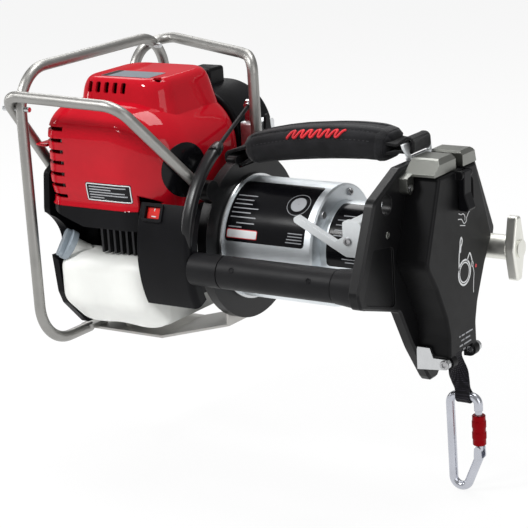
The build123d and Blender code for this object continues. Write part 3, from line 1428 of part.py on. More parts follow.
with BuildPart() as guard_hoop:
    add(bent_tube(hoop_points, hoop_bends))
    for side in (-1, 1):
        tab_ends = sorted((side * HOOP_TAB_END, side * (HOOP_END + 8)))
        with BuildSketch(Plane.XY.offset(bracket_top)):
            with Locations((HOOP_X, sum(tab_ends) / 2)):
                RectangleRounded(18, tab_ends[1] - tab_ends[0], 4)
        extrude(amount=TAB_THICK)
    with BuildSketch(across(HOOP_X)):
        with Locations(BOLT_LEFT_AT, BOLT_RIGHT_AT):
            Circle(BOLT_R + SEAT_GAP)
    extrude(amount=2 * TUBE_R, both=True, mode=Mode.SUBTRACT)
finish(guard_hoop, "guard_hoop")

rail_left_points = [
    (FLANGE_BACK - 8, -82, 80), (FLANGE_BACK - 54, -RAIL_HALF, RAIL_LEFT_Z - 5),
    (RAIL_X, -RAIL_HALF, RAIL_LEFT_Z), (RAIL_X, -BOSS_END_AT[0], BOSS_END_AT[1]),
]
rail_left_bends = [30, 22]
rail_right_z = HOOP_TOP - 6
rail_right_points = [
    (FLANGE_BACK - 8, RAIL_END_RIGHT[0], RAIL_END_RIGHT[1] + 8),
    (FLANGE_BACK - 8, RAIL_END_RIGHT[0], rail_right_z),
    (FLANGE_BACK - 38, RAIL_END_RIGHT[0] + 22, rail_right_z),
    (RAIL_X, RAIL_HALF + 8.5, rail_right_z),
    (RAIL_X, RAIL_HALF - 51.5, rail_right_z - 11),
    (RAIL_X, BOSS_END_AT[0], BOSS_END_AT[1]),
]
rail_right_bends = [18, 18, 20, 40]
rails = (
    ("guard_rail_left", rail_left_points, rail_left_bends, RAIL_END_LEFT, (-84, 82), -1, BOLT_LEFT_AT),
    ("guard_rail_right", rail_right_points, rail_right_bends, RAIL_END_RIGHT, (47, 97), 1, BOLT_RIGHT_AT),
)
for name, points, bends, tab_at, tab_to, side, bolt_at in rails:
    with BuildPart() as guard_rail:
        add(bent_tube(points, bends))
        with BuildSketch(across(FLANGE_BACK)):
            with Locations(tab_at):
                Circle(LUG_R - 1)
            with Locations(tab_to):
                Circle(TUBE_R)
            make_hull()
        extrude(amount=-TAB_THICK)
        with BuildSketch(across(RAIL_X - TAB_THICK / 2)):
            with Locations((side * BOSS_END_AT[0], BOSS_END_AT[1])):
                Circle(RAIL_BOSS_R)
        extrude(amount=TAB_THICK)
        # The end is flattened where it sits on the boss
        with BuildSketch(across(boss_end)):
            with Locations((side * BOSS_END_AT[0], BOSS_END_AT[1])):
                Circle(RAIL_BOSS_R + 4)
        extrude(amount=TUBE_R, mode=Mode.SUBTRACT)
        with BuildSketch(across(RAIL_X)):
            with Locations(bolt_at):
                Circle(BOLT_R + SEAT_GAP)
        extrude(amount=2 * TUBE_R, both=True, mode=Mode.SUBTRACT)
    finish(guard_rail, name)

with BuildPart() as rail_bolts:
    for bolt_at in (BOLT_LEFT_AT, BOLT_RIGHT_AT):
        with BuildSketch(across(RAIL_X - TUBE_R - 6)):
            with Locations(bolt_at):
                Circle(BOLT_R)
        extrude(amount=HOOP_X - RAIL_X + 2 * TUBE_R + 12)
finish(rail_bolts, "rail_bolts")

# Base bracket: bent sheet under the tank, with the stud that holds the tank up

bracket_knee = FLANGE_BACK - 99
with BuildPart() as base_bracket:
    with BuildSketch(beside(0)):
        Polygon(
            (HOOP_X - 12, bracket_top - SHEET), (bracket_knee, bracket_top - SHEET),
            (FLANGE_BACK, BRACKET_LOW), (FLANGE_BACK, BRACKET_HIGH),
            (FLANGE_BACK - SHEET, BRACKET_HIGH), (FLANGE_BACK - SHEET, BRACKET_LOW + 2),
            (bracket_knee - 0.8, bracket_top), (HOOP_X - 12, bracket_top), align=None,
        )
    extrude(amount=BRACKET_HALF, both=True)
    with BuildSketch(Plane.XY.offset(bracket_top)):
        with Locations(STUD_AT):
            Circle(TANK_STUD_R)
    extrude(amount=TANK_BOTTOM - bracket_top)
finish(base_bracket, "base_bracket")

# Carrying strap: a padded sleeve on webbing, between the flange and a buckle


def pad_plane(station):
    """Plane across the pad at one of its stations."""
    along, height, slope, share = station
    tangent = (cos(radians(slope)), 0, sin(radians(slope)))
    return Plane(origin=(along, 0, height), x_dir=(0, 1, 0), z_dir=tangent)


with BuildPart() as strap_pad:
    for station in PAD_STATIONS:
        share = station[3]
        with BuildSketch(pad_plane(station)):
            RectangleRounded(PAD_WIDTH * (0.5 + 0.5 * share), PAD_THICK * share, PAD_ROUND * share)
    loft()
finish(strap_pad, "strap_pad")

pad_start = (PAD_STATIONS[0][0], PAD_STATIONS[0][1])
pad_end = (PAD_STATIONS[-1][0], PAD_STATIONS[-1][1])
lug_back = FLANGE_BACK - STRAP_WEB - 4
loop_front = PLATE_FRONT - 5.75
rear_points = [
    (pad_start[0] + 8, 0, pad_start[1] - 7), (GEARBOX_BACK + 2, 0, STRAP_SLOT_Z), (lug_back, 0, STRAP_SLOT_Z),
    (lug_back, 0, STRAP_LUG_TOP + STRAP_WEB / 2 + 0.3), (pad_start[0] + 4, 0, pad_start[1] + 6),
]
front_points = [
    (pad_end[0] - 6, 0, pad_end[1] - 6), (PLATE_BACK - 10, 0, PLATE_TOP + 7.8),
    (loop_front, 0, PLATE_TOP + 8), (loop_front, 0, PLATE_TOP + 23.5), (PLATE_BACK - 2, 0, PLATE_TOP + 23.5),
    (PLATE_BACK - 14, 0, PLATE_TOP + 14.5), (pad_end[0] - 6, 0, pad_end[1] + 6),
]


def webbing_band(points, bends, face, keep):
    """Flat band along straight runs and bends in the plane of the strap, ended at one face of the pad."""
    with BuildPart() as band:
        with BuildLine() as path:
            FilletPolyline(*points, radius=bends)
        with BuildSketch(Plane(origin=path.line @ 0, x_dir=(0, 1, 0), z_dir=path.line % 0)):
            Rectangle(WEB_WIDTH, STRAP_WEB)
        sweep()
        split(bisect_by=face, keep=keep)
    return band.part


with BuildPart() as strap_webbing:
    add(webbing_band(rear_points, [6, 6, 6], pad_plane(PAD_STATIONS[0]).offset(-0.3), Keep.BOTTOM))
    add(webbing_band(front_points, [8, 4, 5, 5, 8], pad_plane(PAD_STATIONS[-1]).offset(0.3), Keep.TOP))
finish(strap_webbing, "strap_webbing")

buckle_top = PLATE_TOP + 18.5
with BuildPart() as strap_buckle:
    with BuildSketch(beside(0)):
        Polygon(
            (PLATE_BACK, PLATE_TOP), (PLATE_FRONT - 0.5, PLATE_TOP),
            (PLATE_FRONT - 0.5, PLATE_TOP + BUCKLE_FOOT),
            (PLATE_BACK + 2 + BUCKLE_THICK, PLATE_TOP + BUCKLE_FOOT),
            (PLATE_BACK + 2 + BUCKLE_THICK - BUCKLE_LEAN, buckle_top),
            (PLATE_BACK + 2 - BUCKLE_LEAN, buckle_top),
            (PLATE_BACK + 2, PLATE_TOP + BUCKLE_FOOT), (PLATE_BACK, PLATE_TOP + BUCKLE_FOOT), align=None,
        )
    extrude(amount=BUCKLE_HALF, both=True)
    # The plate narrows towards its foot and has a slot for the webbing
    with BuildSketch(across(PLATE_BACK - 10)):
        Polygon(
            (BUCKLE_HALF, buckle_top), (BUCKLE_HALF, buckle_top - 5), (BUCKLE_HALF - 6, PLATE_TOP),
            (6 - BUCKLE_HALF, PLATE_TOP), (-BUCKLE_HALF, buckle_top - 5), (-BUCKLE_HALF, buckle_top),
            align=None,
        )
        with Locations((0, PLATE_TOP + 8)):
            RectangleRounded(WEB_WIDTH + 3, 7, 3, mode=Mode.SUBTRACT)
    extrude(amount=25, mode=Mode.INTERSECT)
finish(strap_buckle, "strap_buckle")
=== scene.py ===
from math import atan2, copysign, cos, degrees, exp, hypot, pi, radians, sin, sqrt, tan, tanh

import bmesh
import bpy
from mathutils import Matrix, Vector
from mathutils.bvhtree import BVHTree


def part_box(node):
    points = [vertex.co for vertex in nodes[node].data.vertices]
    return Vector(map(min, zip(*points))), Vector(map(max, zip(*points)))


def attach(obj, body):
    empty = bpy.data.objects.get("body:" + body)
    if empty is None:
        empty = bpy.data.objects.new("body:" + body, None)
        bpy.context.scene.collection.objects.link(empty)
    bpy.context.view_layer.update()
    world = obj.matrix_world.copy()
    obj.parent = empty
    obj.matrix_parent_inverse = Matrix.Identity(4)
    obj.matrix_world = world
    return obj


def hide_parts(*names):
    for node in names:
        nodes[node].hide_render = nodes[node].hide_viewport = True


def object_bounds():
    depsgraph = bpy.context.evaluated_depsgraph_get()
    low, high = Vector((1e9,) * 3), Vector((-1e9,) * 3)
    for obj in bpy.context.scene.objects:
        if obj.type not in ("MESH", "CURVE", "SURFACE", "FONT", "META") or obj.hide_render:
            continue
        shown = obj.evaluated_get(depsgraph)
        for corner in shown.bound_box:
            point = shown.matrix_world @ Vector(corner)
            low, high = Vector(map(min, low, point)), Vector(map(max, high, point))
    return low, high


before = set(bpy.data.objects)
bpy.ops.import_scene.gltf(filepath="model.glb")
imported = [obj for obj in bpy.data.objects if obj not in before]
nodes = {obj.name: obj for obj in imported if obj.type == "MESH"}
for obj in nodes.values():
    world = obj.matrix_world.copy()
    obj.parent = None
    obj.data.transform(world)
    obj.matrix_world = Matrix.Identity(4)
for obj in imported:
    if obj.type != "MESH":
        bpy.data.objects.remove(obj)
cad_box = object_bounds()
scene = bpy.context.scene
MM = 0.001
X_AXIS, Y_AXIS, Z_AXIS = Vector((1, 0, 0)), Vector((0, 1, 0)), Vector((0, 0, 1))


def add_object(name, data):
    obj = bpy.data.objects.new(name, data)
    scene.collection.objects.link(obj)
    return obj


# Camera at the photograph's viewing angle; focal length and width are in pixels of the photograph

AZIMUTH, ELEVATION, ROLL = radians(34.445), radians(15.497), radians(-3.548)
TARGET, DISTANCE = Vector((-0.23858, 0, -0.033577)), 2.2059
FOCAL, PHOTO_WIDTH, SENSOR = 1900, 528, 36

level = cos(ELEVATION)
away = Vector((sin(AZIMUTH) * level, -cos(AZIMUTH) * level, sin(ELEVATION)))
right = Vector((cos(AZIMUTH), sin(AZIMUTH), 0))
up = away.cross(right)
right, up = right * cos(ROLL) + up * sin(ROLL), up * cos(ROLL) - right * sin(ROLL)
camera_data = bpy.data.cameras.new("camera")
camera_data.sensor_fit = "HORIZONTAL"
camera_data.sensor_width = SENSOR
camera_data.lens = FOCAL / PHOTO_WIDTH * SENSOR
camera_data.clip_end = 100
camera = add_object("camera", camera_data)
place = Matrix((right, up, away)).transposed().to_4x4()
place.translation = TARGET + away * DISTANCE
camera.matrix_world = place
scene.camera = camera

# Materials. Every colour is linear; scales of noise are per metre, and heights and radii in metres.

SHADE, GLOSS = (22, 4), (70, 5)  # scale and detail of the slow changes of colour and gloss
EDGE_SAMPLES = 4
WEAR, WEAR_RADIUS = 0.5, 0.0012
COAT_ROUGH = 0.04
METAL_EDGE = 0.0005
WAVE_REPEAT = 0.314  # Blender's wave texture at scale 1 repeats after this length


class Look:
    """A new material with its main shader, and helpers that add nodes to it."""

    def __init__(self, name):
        self.material = bpy.data.materials.new(name + "_look")
        self.material.use_nodes = True
        self.tree = self.material.node_tree
        self.main = self.tree.nodes["Principled BSDF"]
        self.link = self.tree.links.new

    def add(self, kind, **values):
        """A new node; each value sets one of its properties or, by its name, one of its inputs."""
        node = self.tree.nodes.new(kind)
        for key, value in values.items():
            if hasattr(node, key):
                setattr(node, key, value)
            else:
                node.inputs[key.replace("_", " ")].default_value = value
        return node

    def put(self, **values):
        """Give inputs of the main shader plain values."""
        for key, value in values.items():
            self.main.inputs[key.replace("_", " ")].default_value = value

    def feed(self, name, source):
        self.link(source, self.main.inputs[name])

    def where(self):
        return self.add("ShaderNodeTexCoord").outputs["Object"]

    def noise(self, scale, detail, stretch=(1, 1, 1)):
        """Noise over the object's own coordinates; a stretch above 1 packs the grain along that axis."""
        mapping = self.add("ShaderNodeMapping", Scale=stretch)
        field = self.add("ShaderNodeTexNoise", Scale=scale, Detail=detail)
        self.link(self.where(), mapping.inputs["Vector"])
        self.link(mapping.outputs["Vector"], field.inputs["Vector"])
        return field.outputs["Fac"]

    def ramp(self, source, low, high, start=0.35, end=0.65):
        """Colour that goes from low to high as the source goes from start to end."""
        node = self.add("ShaderNodeValToRGB")
        for stop, at, colour in zip(node.color_ramp.elements, (start, end), (low, high)):
            stop.position = at
            stop.color = (*colour, 1)
        self.link(source, node.inputs["Fac"])
        return node.outputs["Color"]

    def spread(self, source, low, high):
        """Number that goes from low to high with the source."""
        node = self.add("ShaderNodeMapRange", To_Min=low, To_Max=high)
        self.link(source, node.inputs["Value"])
        return node.outputs["Result"]

    def bump(self, source, strength, distance, under=None):
        """Raise the surface with the source, on top of another normal where one is given."""
        node = self.add("ShaderNodeBump", Strength=strength, Distance=distance)
        self.link(source, node.inputs["Height"])
        if under is not None:
            self.link(under, node.inputs["Normal"])
        self.feed("Normal", node.outputs["Normal"])
        return node.outputs["Normal"]

    def soft_edge(self, radius):
        """Shading that rounds sharp edges a little."""
        node = self.add("ShaderNodeBevel", samples=EDGE_SAMPLES, Radius=radius)
        self.feed("Normal", node.outputs["Normal"])
        return node.outputs["Normal"]

    def worn_edge(self, colour_from, paler):
        """Mix a paler colour in along the edges."""
        shape = self.add("ShaderNodeNewGeometry")
        rounded_off = self.add("ShaderNodeBevel", samples=EDGE_SAMPLES, Radius=WEAR_RADIUS)
        same = self.add("ShaderNodeVectorMath", operation="DOT_PRODUCT")
        near = self.add("ShaderNodeMapRange", From_Min=0.985, From_Max=0.9, To_Max=WEAR)
        mixed = self.add("ShaderNodeMixRGB", Color2=(*paler, 1))
        self.link(shape.outputs["Normal"], same.inputs[0])
        self.link(rounded_off.outputs["Normal"], same.inputs[1])
        self.link(same.outputs["Value"], near.inputs["Value"])
        self.link(near.outputs["Result"], mixed.inputs["Fac"])
        self.link(colour_from, mixed.inputs["Color1"])
        return mixed.outputs["Color"]


def times(colour, factor):
    return tuple(min(1, c * factor) for c in colour)


def plastic(name, colour, rough, grain=0.0, grain_size=1800, coat=0.0, edge=0.0008, tint=0.12, shine=0.5,
            worn=None):
    """Moulded plastic or paint: a little colour and gloss variation and, where wanted, a fine grain."""
    look = Look(name)
    base = look.ramp(look.noise(*SHADE), times(colour, 1 - tint), times(colour, 1 + tint))
    if worn is not None:
        base = look.worn_edge(base, worn)
    look.feed("Base Color", base)
    look.feed("Roughness", look.spread(look.noise(*GLOSS), rough * 0.85, rough * 1.2))
    look.put(Specular_IOR_Level=shine, Coat_Weight=coat, Coat_Roughness=COAT_ROUGH)
    under = look.soft_edge(edge)
    if grain:
        look.bump(look.noise(grain_size, 2), grain, 0.0002, under)
    return look.material


def metal(name, colour, rough, grain=240, strength=0.05, stretch=(1, 1, 1), metallic=1.0):
    """Metal with a worked surface: the grain runs along the axis with the smallest stretch."""
    look = Look(name)
    look.put(Metallic=metallic)
    streak = look.noise(grain, 4, stretch)
    look.feed("Base Color", look.ramp(look.noise(30, 5), times(colour, 0.9), colour))
    look.feed("Roughness", look.spread(streak, rough * 0.8, rough * 1.25))
    look.bump(streak, strength, 0.0001, look.soft_edge(METAL_EDGE))
    return look.material


def woven(name, colour, pitch, along, across):
    """Webbing: two crossed sets of fine ridges, with painted shade in the gaps, and a soft sheen."""
    look = Look(name)
    where = look.where()
    weave = look.add("ShaderNodeMath", operation="MULTIPLY")
    for axis, socket in zip((along, across), weave.inputs):
        wave = look.add("ShaderNodeTexWave", bands_direction=axis, Scale=WAVE_REPEAT / pitch, Distortion=0.5,
                        Detail=1.0)
        look.link(where, wave.inputs["Vector"])
        look.link(wave.outputs["Fac"], socket)
    height = weave.outputs["Value"]
    # Painted shade: the colour falls to a fifth of the webbing's own where the weave is low, in the gaps
    # between the ridges.
    look.feed("Base Color", look.ramp(height, times(colour, 0.2), colour, 0.0, 0.8))
    look.put(Roughness=0.92, Specular_IOR_Level=0.2, Sheen_Weight=0.12, Sheen_Roughness=0.5)
    look.bump(height, 0.9, 0.0009)
    return look.material


def knit(name, colour, cell, strength=0.5, sheen=0.15):
    """Stretch cloth: small rounded loops with a fuzz of finer noise and slow shade changes."""
    look = Look(name)
    loops = look.add("ShaderNodeTexVoronoi", Scale=1 / cell)
    look.link(look.where(), loops.inputs["Vector"])
    look.feed("Base Color", look.ramp(look.noise(55, 4), times(colour, 0.55), colour, 0.3, 0.7))
    look.put(Roughness=0.95, Specular_IOR_Level=0.15, Sheen_Weight=sheen, Sheen_Roughness=0.4)
    under = look.bump(loops.outputs["Distance"], strength, 0.0005)
    look.bump(look.noise(2600, 2), 0.35, 0.0002, under)
    return look.material


BLACK, DEEP_BLACK = (0.0045, 0.0045, 0.005), (0.004, 0.004, 0.005)
looks = {
    "casting": plastic("black_casting", BLACK, 0.36, 0.16, 1500, shine=0.2, worn=(0.04, 0.04, 0.042)),
    "lid": plastic("lid", BLACK, 0.4, 0.12, 2200, shine=0.13, worn=(0.05, 0.05, 0.052)),
    "plastic": plastic("black_plastic", DEEP_BLACK, 0.38, 0.15, 1700, shine=0.11),
    "red": plastic("red_cover", (0.43, 0.0045, 0.013), 0.3, coat=0.5, edge=0.0015, tint=0.05, shine=0.0),
    "switch": plastic("switch", (0.72, 0.018, 0.012), 0.25, coat=0.3, edge=0.0005),
    "tank": plastic("tank", (0.80, 0.81, 0.78), 0.40, 0.1, 400, tint=0.03, edge=0.002),
    "cap": plastic("cap", (0.25, 0.295, 0.335), 0.42, 0.15, 1500),
    "rubber": plastic("grip_rubber", (0.008, 0.008, 0.009), 0.46, 0.3, 2200, shine=0.16),
    "black_metal": plastic("black_metal", BLACK, 0.34, 0.12, 1500, shine=0.25, worn=(0.04, 0.04, 0.04)),
    "boot": plastic("boot_rubber", (0.006, 0.006, 0.007), 0.3, 0.12, 1900, shine=0.38),
    "foil": plastic("label_black", DEEP_BLACK, 0.16, tint=0.05, shine=0.2),
    "white_print": plastic("white_print", (0.74, 0.75, 0.76), 0.45, tint=0.04),
    "grey_print": plastic("grey_print", (0.32, 0.33, 0.35), 0.45, tint=0.06),
    "red_print": plastic("red_print", (0.62, 0.02, 0.03), 0.4, tint=0.05),
    "panel_grey": plastic("cover_panel", (0.12, 0.14, 0.16), 0.5, tint=0.05, shine=0.2),
    "thread": plastic("seam_thread", (0.028, 0.028, 0.031), 0.75, 0.6, 2600),
    "red_thread": plastic("red_thread", (0.62, 0.012, 0.022), 0.6, 0.8, 1500, tint=0.25),
    "lining": plastic("shoe_lining", (0.10, 0.08, 0.06), 0.8, 0.5, 900),
    "tube": metal("tube_steel", (0.36, 0.355, 0.34), 0.42, 420, 0.04),
    "sheet": metal("sheet_steel", (0.46, 0.45, 0.43), 0.36, 300, 0.04, (0.2, 4, 4)),
    "guide": metal("guide_steel", (0.26, 0.265, 0.245), 0.36, 260, 0.06, (6, 0.3, 6)),
    "bright": metal("bright_steel", (0.62, 0.63, 0.64), 0.24, 300, 0.02),
    "satin": metal("satin_aluminium", (0.84, 0.86, 0.87), 0.46, 500, 0.03),
    "lever": metal("lever", (0.80, 0.83, 0.845), 0.44, 500, 0.03, metallic=0.65),
    "gearbox": metal("gearbox", (0.875, 0.92, 0.95), 0.46, 220, 0.02, (0.5, 3, 3)),
    "steel": metal("steel", (0.46, 0.46, 0.47), 0.3, 320, 0.03),
    "alu": metal("machined_alu", (0.60, 0.61, 0.62), 0.3, 300, 0.03),
    "knob": metal("knob", (0.88, 0.88, 0.82), 0.44, 300, 0.02, (1, 1, 0.4)),
    "dark_casting": metal("dark_casting", (0.035, 0.035, 0.038), 0.55, 500, 0.3, metallic=0.6),
    "muffler": metal("muffler", (0.14, 0.13, 0.125), 0.5, 300, 0.1),
    "bronze": metal("bush_bronze", (0.55, 0.36, 0.14), 0.35),
    "red_alu": metal("red_sleeve", (0.25, 0.005, 0.008), 0.34, 320, 0.03),
    "carabiner": metal("carabiner", (0.56, 0.575, 0.63), 0.27, 260, 0.02),
    "webbing": woven("webbing", (0.022, 0.022, 0.024), 0.0024, "X", "Y"),
    "sling": woven("sling", (0.020, 0.018, 0.026), 0.0022, "Z", "Y"),
    "pad": knit("pad", (0.019, 0.019, 0.021), 0.0009),
    "binding": knit("binding", (0.022, 0.022, 0.024), 0.0016, 0.9, 0.2),
}
dressed = {
    "casting": "head_plate",
    "lid": "lid",
    "plastic": "coupling_shroud lower_shroud air_cleaner rear_housing recoil_handle lid_latch throttle_lever",
    "red": "engine_cover",
    "switch": "stop_switch",
    "tank": "fuel_tank",
    "cap": "fuel_cap",
    "rubber": "twist_grip grip_collars throttle_cable",
    "black_metal": "coupling_flange grip_tube",
    "tube": "guard_hoop guard_rail_left guard_rail_right",
    "sheet": "base_bracket",
    "guide": "rope_guide_left rope_guide_right",
    "bright": "hinge_brackets rail_bolts cable_adjuster",
    "satin": "strap_buckle clutch_housing carburettor",
    "lever": "lever_bracket descent_lever",
    "gearbox": "gearbox_housing gearbox_neck",
    "steel": "roller_pins output_shaft shaft_nut ring_gear planet_gear_1 planet_gear_2 planet_gear_3 "
             "sun_shaft clutch_drum crankshaft pressure_arm sling_anchor",
    "alu": "rope_sheave guide_roller pressure_roller",
    "knob": "turn_knob",
    "dark_casting": "crankcase",
    "muffler": "muffler",
    "lining": "clutch_shoes",
    "bronze": "shaft_bush",
    "red_alu": "carabiner_sleeve",
    "carabiner": "carabiner_body carabiner_gate",
    "webbing": "strap_webbing",
    "sling": "sling",
    "pad": "strap_pad",
}
for look, names in dressed.items():
    for name in names.split():
        nodes[name].data.materials.clear()
        nodes[name].data.materials.append(looks[look])

# Mesh helpers. Points are in millimetres, as in the part's own source.

PRINT_SUNK, LABEL_SUNK = 0.06, 0.1  # how deep the undersides of print and of pressed-on labels lie
LINE_LIFT = 0.26
RAY_START = 60  # how far outside a surface the search for it starts
LABEL_STEP, WRAP_STEP, CORNER_STEPS = 4, 3, 5
STITCH_R, STITCH, STITCH_GAP = 0.42, 3.4, 2.0


def circle(count):
    """Angles all round, in radians."""
    return [2 * pi * i / count for i in range(count)]


def spaced(start, run, count):
    """Places at equal steps, with both ends."""
    return [start + run * i / count for i in range(count + 1)]


def rounded(half_wide, half_high, corner, steps):
    """Flat points round a rectangle with rounded corners."""
    found = []
    for turn, (sx, sy) in enumerate(((1, 1), (-1, 1), (-1, -1), (1, -1))):
        for i in range(steps + 1):
            angle = pi / 2 * (turn + i / steps)
            found.append((sx * (half_wide - corner) + corner * cos(angle),
                          sy * (half_high - corner) + corner * sin(angle)))
    return found


def skin(rings, capped=True):
    """Points and faces of a surface stretched over closed rings of points."""
    count = len(rings[0])
    points = [point for ring in rings for point in ring]
    faces = []
    for row in range(len(rings) - 1):
        for i in range(count):
            j = (i + 1) % count
            faces.append((row * count + i, row * count + j, (row + 1) * count + j, (row + 1) * count + i))
    if capped:
        faces.append(tuple(range(count)))
        faces.append(tuple(range((len(rings) - 1) * count, len(rings) * count)))
    return points, faces


def slab(top, low):
    """A thin closed sheet between two grids of points of the same size."""
    rows, columns = len(top), len(top[0])
    points = [point for row in top for point in row] + [point for row in low for point in row]
    under = rows * columns
    faces = []
    for r in range(rows - 1):
        for c in range(columns - 1):
            square = (r * columns + c, r * columns + c + 1, (r + 1) * columns + c + 1, (r + 1) * columns + c)
            faces.append(square)
            faces.append(tuple(under + i for i in reversed(square)))
    rim = list(range(columns))
    rim += [r * columns + columns - 1 for r in range(1, rows)]
    rim += [(rows - 1) * columns + c for c in range(columns - 2, -1, -1)]
    rim += [r * columns for r in range(rows - 2, 0, -1)]
    for a, b in zip(rim, rim[1:] + rim[:1]):
        faces.append((b, a, under + a, under + b))
    return points, faces


def build(name, shells, look, body="frame", crease=35):
    """One piece made of one or more shells, riding on a body."""
    work = bmesh.new()
    for points, faces in shells:
        corners = [work.verts.new(Vector(point) * MM) for point in points]
        for face in faces:
            work.faces.new([corners[i] for i in face])
    bmesh.ops.remove_doubles(work, verts=work.verts, dist=0.00001)
    bmesh.ops.recalc_face_normals(work, faces=work.faces)
    mesh = bpy.data.meshes.new(name)
    work.to_mesh(mesh)
    work.free()
    mesh.shade_smooth()
    mesh.set_sharp_from_angle(angle=radians(crease))
    mesh.materials.append(looks[look])
    obj = add_object(name, mesh)
    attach(obj, body)
    return obj


def turned(at, axis, profile, sides=36):
    """A turned form: each entry is a height and a radius, or a function that gives the radius at an angle."""
    axis = Vector(axis).normalized()
    across = axis.orthogonal().normalized()
    third = axis.cross(across)
    rings = []
    for height, radius in profile:
        ring = []
        for angle in circle(sides):
            reach = radius(angle) if callable(radius) else radius
            out = across * cos(angle) + third * sin(angle)
            ring.append(Vector(at) + axis * height + out * reach)
        rings.append(ring)
    return skin(rings)


def screw(at, axis, radius, height, drive="hex"):
    """A screw head with a sunk socket and a rounded rim."""
    size, rim = radius * 0.5, radius * 0.16

    def socket(angle):
        if drive == "hex":
            return size / cos((angle + pi / 6) % (pi / 3) - pi / 6)
        return size * (1 + 0.16 * cos(6 * angle))

    return turned(at, axis, [(-0.3, radius), (height - rim, radius), (height - rim * 0.3, radius - rim * 0.3),
                             (height, radius - rim), (height, socket), (height * 0.35, socket)])


def ribbon(points, normals, width, lift):
    """A thin flat line laid over a surface through points whose normals are given."""
    rings = []
    for i, (point, normal) in enumerate(zip(points, normals)):
        before = points[max(i - 1, 0)]
        after = points[min(i + 1, len(points) - 1)]
        side = normal.cross(after - before).normalized() * (width / 2)
        rings.append([point - side - normal * PRINT_SUNK, point - side + normal * lift,
                      point + side + normal * lift, point + side - normal * PRINT_SUNK])
    return skin(rings)


def soft_spots(length, corner, step):
    """Places along a side, close together at its rounded ends, with how far the corner draws in there."""
    turns = [corner * (1 - cos(pi / 2 * i / CORNER_STEPS)) for i in range(CORNER_STEPS + 1)]
    count = max(2, round((length - 2 * corner) / step))
    places = turns + [corner + (length - 2 * corner) * i / count for i in range(1, count)]
    places += [length - turn for turn in reversed(turns)]
    found = []
    for at in places:
        near = min(at, length - at)
        inset = corner - sqrt(max(0, corner ** 2 - (corner - near) ** 2)) if near < corner else 0
        found.append((at, inset))
    return found


def on_barrel(radius, x, angle):
    """A point of a barrel along X, and its normal; the angle is in degrees from +Y towards +Z."""
    normal = Vector((0, cos(radians(angle)), sin(radians(angle))))
    return Vector((x, 0, 0)) + normal * radius, normal


def wrapped(radius, start, end, first, last, corner, lift=0.15):
    """A label with rounded corners round a barrel, from one angle to another."""
    top, low = [], []
    for at, inset in soft_spots(radians(last - first) * radius, corner, WRAP_STEP):
        angle = first + degrees(at / radius)
        top.append([on_barrel(radius + lift, x, angle)[0] for x in (start + inset, end - inset)])
        low.append([on_barrel(radius - PRINT_SUNK, x, angle)[0] for x in (start + inset, end - inset)])
    return slab(top, low)


def bar_on_barrel(radius, start, end, angle, width):
    ends = [on_barrel(radius, x, angle) for x in (start, end)]
    return ribbon(*zip(*ends), width, LINE_LIFT)


def disc_on_barrel(radius, x, angle, reach, lift, hole=0.3):
    """A round mark on a barrel, or a ring where the hole is large."""
    rim, brink = (reach, -PRINT_SUNK), (hole, -PRINT_SUNK)
    rings = []
    for r, off in [rim] + [(reach - (reach - hole) * i / 5, lift) for i in range(6)] + [brink, rim]:
        rings.append([on_barrel(radius + off, x + r * cos(turn),
                                angle + degrees(r * sin(turn) / radius))[0] for turn in circle(48)])
    return skin(rings, capped=False)


def surface_of(obj):
    """A search tree of an object's faces, in millimetres."""
    corners, faces = obj.data.vertices, obj.data.polygons
    return BVHTree.FromPolygons([v.co / MM for v in corners], [tuple(p.vertices) for p in faces])


def touch(tree, start, along):
    """Where a straight line first meets a surface, and the normal there, turned against the line."""
    along = Vector(along).normalized()
    point, normal = tree.ray_cast(Vector(start), along)[:2]
    if point is None:
        raise RuntimeError("a laid-on piece misses the surface that carries it")
    if normal.dot(along) > 0:
        normal = -normal
    return point, normal


def label_axes(out):
    """A label's outward direction, its line nearest to X and its upward line."""
    out = Vector(out).normalized()
    across = (X_AXIS - out * out.dot(X_AXIS)).normalized()
    return out, across, out.cross(across)


def patch(tree, middle, out, width, height, corner, lift):
    """A label with rounded corners pressed onto a curved surface."""
    out, across, upward = label_axes(out)
    top, low = [], []
    for at, inset in soft_spots(width, corner, LABEL_STEP):
        line = Vector(middle) + across * (at - width / 2)
        column = [touch(tree, line + upward * (v * (height - 2 * inset)) + out * RAY_START, -out)[0]
                  for v in spaced(-0.5, 1, 12)]
        top.append([point + out * lift for point in column])
        low.append([point - out * LABEL_SUNK for point in column])
    return slab(top, low)


def outline_on(tree, middle, out, width, height, corner):
    """Points and normals of a rounded rectangle pressed onto a surface; the last is the first again."""
    out, across, upward = label_axes(out)
    flat = rounded(width / 2, height / 2, corner, 6)
    fine = []
    for (ax, ay), (bx, by) in zip(flat, flat[1:] + flat[:1]):
        steps = max(1, int(hypot(bx - ax, by - ay) / LABEL_STEP))
        fine += [(ax + (bx - ax) * i / steps, ay + (by - ay) * i / steps) for i in range(steps)]
    fine.append(fine[0])
    starts = [Vector(middle) + across * u + upward * v + out * RAY_START for u, v in fine]
    return zip(*(touch(tree, start, -out) for start in starts))


def round_mark(tree, middle, out, reach, lift):
    """A round mark pressed onto a curved surface."""
    out = Vector(out).normalized()
    across = out.orthogonal().normalized()
    third = out.cross(across)
    rings = []
    for r, off in [(reach, -LABEL_SUNK)] + [(reach * (1 - i / 8), lift) for i in range(8)]:
        ring = []
        for turn in circle(56):
            start = Vector(middle) + (across * cos(turn) + third * sin(turn)) * r + out * RAY_START
            ring.append(touch(tree, start, -out)[0] + out * off)
        rings.append(ring)
    return skin(rings)


